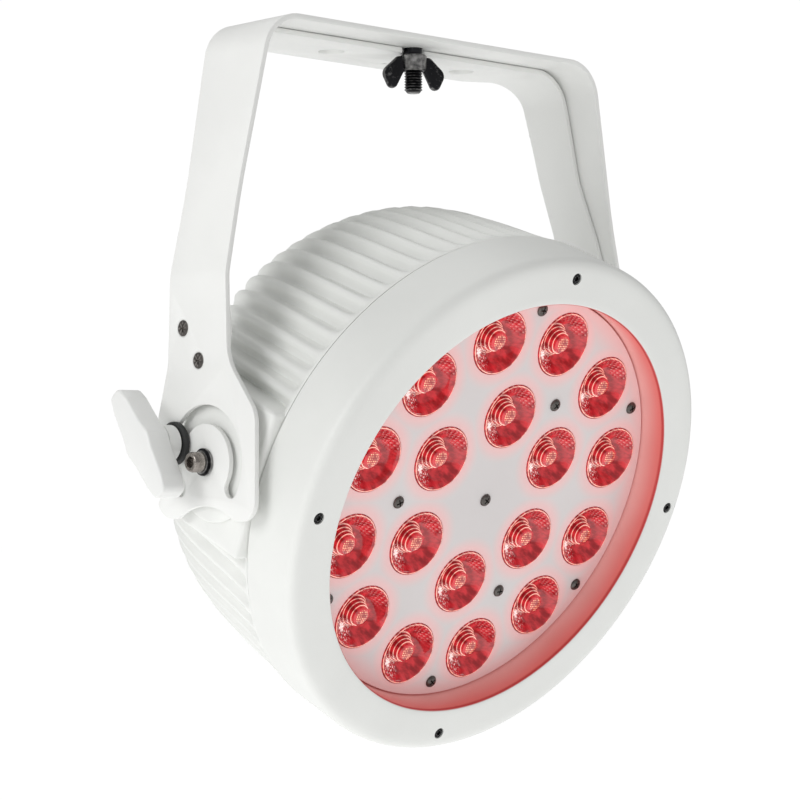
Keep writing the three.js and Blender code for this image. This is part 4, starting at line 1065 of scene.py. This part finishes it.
def makeRim():
    shrink = rimRadius / rim["profile"][2][0]
    ring = turned("frontRim", [(r * shrink, s) for r, s in rim["profile"]], steps=216, closed=True)
    for _, across, up in rimScrewSpots():
        carve(ring, rod("counterbore", rim["counterbore"], -72.5, -69.6, "Y", across, up, 32))
        carve(ring, rod("screwHole", rim["screwHole"], -72.5, -62, "Y", across, up, 20))
    place(ring, onHead)
    finish(ring, "head", "body_paint", rimWhite, "bezel", smooth=40)
    head, shank = rim["screwHead"], rim["screwShank"]
    screw = turned("rimScrew", [
        (0, 70.75), (head - 0.8, 70.75), (head - 0.2, 70.6), (head, 70.3), (head, 69.9), (shank, 69.8),
        (shank, 52.5), (0, 52.5)], steps=24)
    carve(screw, rod("hexSocket", 1.5, -71.5, -69.9, "Y", sides=6))
    for word, across, up in rimScrewSpots():
        made = copyOf(screw, "rimScrew_" + word)
        place(made, onHead @ Matrix.Translation(Vector((across, 0, up)) * mm))
        finish(made, "head", "black_oxide", blackScrew, "bezel_screw_" + word)
    bpy.data.objects.remove(screw)


face = {"front": 54.1, "thick": 2, "radius": 116.7, "hole": 18.25}


def lensSpots():
    spots = []
    for ring, first, step in lensRings:
        for k in range(360 // step):
            angle = math.radians(first - k * step)
            spots.append((ring * math.cos(angle), ring * math.sin(angle)))
    return spots


def makeLensPlate():
    front, back = face["front"], face["front"] - face["thick"]
    disc = turned("lensPlate", [
        (0, front), (face["radius"] - 0.4, front), (face["radius"], front - 0.4), (face["radius"], back),
        (0, back)], steps=144)
    holes = [rod("lensHole", face["hole"], -front - 3, 3 - back, "Y", across, up, 64)
             for across, up in lensSpots()]
    carve(disc, joined(holes))
    soften(disc, 0.25, 2, angle=60)
    place(disc, onHead)
    return finish(disc, "head", "plate_white", plateWhite, "lens_plate", flat=True)


lens = {
    "profile": [
        (0, 54.35), (2.2, 54.3), (3.9, 54.05), (5.1, 53.5), (5.3, 53.3), (5.4, 51.9), (6.2, 51.75),
        (6.3, 51.55), (6.4, 49.8), (7.1, 49.65), (7.25, 49.45), (7.35, 47.7), (8.1, 47.55), (8.25, 47.35),
        (8.5, 46.2),
        (9.6, 46.0), (11.2, 47.0), (12.6, 48.4), (14.0, 50.1), (15.2, 52.0), (16.2, 53.9), (16.7, 54.5),
        (17.3, 54.75), (17.8, 54.5), (18, 54.1), (18, 52.4), (8.6, 37.2), (0, 37.2)],
    "steps": 64,
}


def makeLenses():
    first = turned("lens", lens["profile"], steps=lens["steps"])
    spots = first.data.uv_layers.new(name="lensFace")
    for corner in first.data.loops:
        here = first.data.vertices[corner.vertex_index].co / mm
        spots.data[corner.index].uv = (0.5 + here.x / (2 * lensRadius), 0.5 + here.z / (2 * lensRadius))
    for i, (across, up) in enumerate(lensSpots()):
        number = f"{i + 1:02d}"
        made = copyOf(first, "optic_" + number)
        place(made, onHead @ Matrix.Translation(Vector((across, 0, up)) * mm))
        finish(made, "head", "red_lens", redOptic, "lens_" + number, smooth=30)
    bpy.data.objects.remove(first)


plateScrews = {"radius": 3.5, "rise": 1.7, "rings": [(0, 0, 1), (63.9, 60, 3), (108.8, 90, 6)]}


def makePlateScrews():
    seat = face["front"] + 0.05
    radius = plateScrews["radius"]
    screw = turned("plateScrew", [
        (0, seat + plateScrews["rise"]), (1.6, seat + 1.62), (2.7, seat + 1.3), (3.3, seat + 0.75),
        (radius, seat + 0.2), (radius, seat), (1.5, seat), (1.5, seat - 5), (0, seat - 5)], steps=32)
    cross = crossCutter("cross", 2.0, 0.7, seat + 3, 2.9, "Y")
    carve(screw, cross)
    soften(screw, 0.1, 1, angle=45)
    for ring, first, count in plateScrews["rings"]:
        for k in range(count):
            angle = math.radians(first + k * 360 / count)
            made = copyOf(screw, f"plateScrew_{ring:.0f}_{k}")
            place(made, onHead @ Matrix.Translation(
                Vector((ring * math.cos(angle), 0, ring * math.sin(angle))) * mm)
                @ Matrix.Rotation(angle * 1.7 + 0.5, 4, "Y"))
            finish(made, "head", "nickel_steel", darkNickel)
    bpy.data.objects.remove(screw)


back = {
    "face": 87, "thick": 2.5, "radius": 97, "display": (44, 22), "displayUp": 52, "buttonUp": 26,
    "buttonPitch": 17, "buttonRadius": 4.5, "sockets": {
        "power_in_socket": (-58, -12), "power_out_socket": (58, -12),
        "signal_in_socket": (-21, -52), "signal_out_socket": (21, -52)},
    "socketRadius": 12, "flange": 15.5, "bore": 8.5, "boreDepth": 15, "eyeUp": 84, "screwCircle": 90,
}
buttons = ["menu_button", "down_button", "up_button", "enter_button"]


def buttonAcross(i):
    return (i - (len(buttons) - 1) / 2) * back["buttonPitch"]


def displayOutline(insetAcross, insetUp, radius):
    across = back["display"][0] / 2 - insetAcross
    rise = back["display"][1] / 2 - insetUp
    low, high = back["displayUp"] - rise, back["displayUp"] + rise
    return roundCorners([(-across, low, radius), (across, low, radius), (across, high, radius),
                         (-across, high, radius)])


def makeRearCover():
    rear, radius = back["face"], back["radius"]
    disc = turned("rearCover", [
        (0, -rear + back["thick"]), (radius, -rear + back["thick"]), (radius, -rear + 0.6),
        (radius - 0.6, -rear), (radius - 7, -rear), (radius - 7.6, -rear + 0.5), (radius - 9, -rear + 0.5),
        (radius - 9.6, -rear), (0, -rear)], steps=144)
    carve(disc, plate("windowHole", displayOutline(2, 2, 2), "front", rear - 6, rear + 4))
    for across, up in back["sockets"].values():
        carve(disc, rod("socketHole", back["socketRadius"] + 0.3, rear - 6, rear + 4, "Y", across, up, 48))
    for i in range(len(buttons)):
        carve(disc, rod("buttonHole", back["buttonRadius"] + 0.3, rear - 6, rear + 4, "Y",
                        buttonAcross(i), back["buttonUp"], 32))
    circle = back["screwCircle"]
    spots = [(circle * math.cos(math.radians(angle)), circle * math.sin(math.radians(angle)))
             for angle in range(30, 390, 60)]
    for across, up in spots:
        carve(disc, rod("coverScrewSeat", 2.6, rear - 0.8, rear + 2, "Y", across, up, 24))
    soften(disc, 0.3, 2, angle=60)
    place(disc, onHead)
    finish(disc, "head", "body_paint", bodyWhite, "rear_cover", flat=True)
    screw = turned("coverScrew", [
        (0, -rear + 0.15), (1.5, -rear + 0.15), (2.2, -rear + 0.3), (2.4, -rear + 0.6), (2.4, -rear + 0.79),
        (0, -rear + 0.79)], steps=24)
    cross = crossCutter("cross", 1.5, 0.5, 0.6, 1.2, "Y")
    place(cross, Matrix.Translation(Vector((0, rear, 0)) * mm))
    carve(screw, cross)
    for k, (across, up) in enumerate(spots):
        made = copyOf(screw, f"coverScrew_{k}")
        place(made, onHead @ Matrix.Translation(Vector((across, 0, up)) * mm))
        finish(made, "head", "nickel_steel", nickel)
    bpy.data.objects.remove(screw)


def makeDisplay():
    rear = back["face"] + 0.3
    pane = plate("displayPane", displayOutline(0, 0, 2.5), "front", rear, rear + 1.5)
    soften(pane, 0.4, 3, angle=50)
    carve(pane, plate("paneWell", displayOutline(4, 3.5, 1), "front", rear + 1.1, rear + 3))
    place(pane, onHead)
    finish(pane, "head", "smoked_window", smokedWindow, "display_window")


def makeButtons():
    rear = back["face"] + 1.8
    radius = back["buttonRadius"]
    cap = turned("buttonCap", [
        (0, -rear + 0.25), (1.6, -rear + 0.18), (3.2, -rear), (radius - 0.5, -rear + 0.15),
        (radius, -rear + 0.7), (radius, -back["face"] + 5.5), (0, -back["face"] + 5.5)], steps=40)
    for i, name in enumerate(buttons):
        made = copyOf(cap, name + "_cap")
        place(made, onHead @ Matrix.Translation(Vector((buttonAcross(i), 0, back["buttonUp"])) * mm))
        finish(made, name, "black_plastic", plasticBlack, name)
    bpy.data.objects.remove(cap)


def makeSockets():
    rear = back["face"] + 3.3
    floor = rear - back["boreDepth"]
    keyAt = back["bore"] + 0.3
    for name, (across, up) in back["sockets"].items():
        power = name.startswith("power")
        shell = turned(name + "_shell", [
            (0, -floor + 1), (back["socketRadius"], -floor + 1), (back["socketRadius"], -back["face"] - 0.35),
            (back["flange"], -back["face"] - 0.35), (back["flange"], -rear + 0.7),
            (back["flange"] - 0.7, -rear),
            (back["bore"] + 1.1, -rear), (back["bore"], -rear + 0.9), (back["bore"], -floor),
            (0, -floor)], steps=56)
        if power:
            for k in range(3):
                angle = math.radians(90 + 120 * k)
                carve(shell, rod("keyway", 1.5, floor + 2, rear + 1, "Y",
                                 keyAt * math.cos(angle), keyAt * math.sin(angle), 20))
        else:
            carve(shell, rod("latchWay", 1.9, floor + 4, rear + 1, "Y", 0, keyAt, 20))
        at = onHead @ Matrix.Translation(Vector((across, 0, up)) * mm)
        place(shell, at)
        finish(shell, "head", "black_plastic", plasticBlack, name)
        if power:
            core = turned(name + "_core", [
                (0, -floor - 0.1), (5.2, -floor - 0.1), (5.4, -floor - 1), (5.4, -rear + 4.6),
                (4.6, -rear + 4), (0, -rear + 4)], steps=40)
            for k in range(3):
                angle = math.radians(30 + 120 * k)
                carve(core, rod("blade", 0.95, rear - 9, rear - 2, "Y",
                                3.1 * math.cos(angle), 3.1 * math.sin(angle), 16))
            tone = plasticBlue if name.startswith("power_in") else plasticGrey
            place(core, at)
            finish(core, "head", "black_plastic", tone)
        else:
            pins = [rod("pin", 0.85, floor - 0.1, rear - 4, "Y", 4.2 * math.cos(math.radians(a)),
                        4.2 * math.sin(math.radians(a)), 16) for a in (-50, -130, 90, 20, 160)]
            contacts = joined(pins)
            contacts.name = name + "_pins"
            soften(contacts, 0.3, 2, angle=60)
            place(contacts, at)
            finish(contacts, "head", "nickel_steel", gold)


def makeEyeAndFuse():
    rear = back["face"] + 0.3
    loop = plate("safetyEye", [(x, rear + y) for x, y in roundCorners([
        (-14, 0, 3), (14, 0, 3), (11, 14, 5), (-11, 14, 5)], step=12)], "top", -1.5, 1.5)
    hole = plate("eyeHole", [(x, rear + y) for x, y in roundCorners([
        (-10, 4, 1.5), (10, 4, 1.5), (8, 11, 2), (-8, 11, 2)], step=15)], "top", -4, 4)
    carve(loop, hole)
    soften(loop, 1.1, 4, angle=50)
    place(loop, onHead @ Matrix.Translation(Vector((0, 0, back["eyeUp"])) * mm))
    finish(loop, "head", "nickel_steel", nickel, "safety_eye")
    cap = turned("fuseCap", [
        (0, -rear - 3.4), (4.6, -rear - 3.4), (5.2, -rear - 2.9), (5.2, -rear - 1.2), (7.2, -rear - 1.1),
        (7.6, -rear - 0.6), (7.6, -rear), (0, -rear)], steps=40)
    bpy.ops.mesh.primitive_cube_add(size=1, location=Vector((0, rear + 3.4, 0)) * mm,
                                    scale=Vector((7, 2.4, 1.1)) * mm)
    slotTool = bpy.context.object
    bpy.ops.object.transform_apply()
    carve(cap, slotTool)
    place(cap, onHead @ Matrix.Translation(Vector((0, 0, -12)) * mm))
    finish(cap, "head", "black_plastic", plasticBlack)


insideLooks = {"led_board": boardGreen, "driver_board": boardGreen, "heat_sink": castAluminium,
               "power_supply": castAluminium}


def dressInside():
    for name, material in insideLooks.items():
        node = frame["nodes"][name]
        for holder in node.material_slots:
            holder.material = material


addCamera()
addStudio()
print("camera, lights and floor set")
deselectAll()
makeYoke()
makeInnerBracket()
makeArmScrews()
makeStud()
makeWingNut()
print("brackets made")
makePivots()
makeKnobs()
print("pivots and locks made")
makeHousing()
makeRim()
print("housing and rim made")
makeLensPlate()
makeLenses()
makePlateScrews()
print("light face made")
makeRearCover()
makeDisplay()
makeButtons()
makeSockets()
makeEyeAndFuse()
dressInside()
print("back panel made")
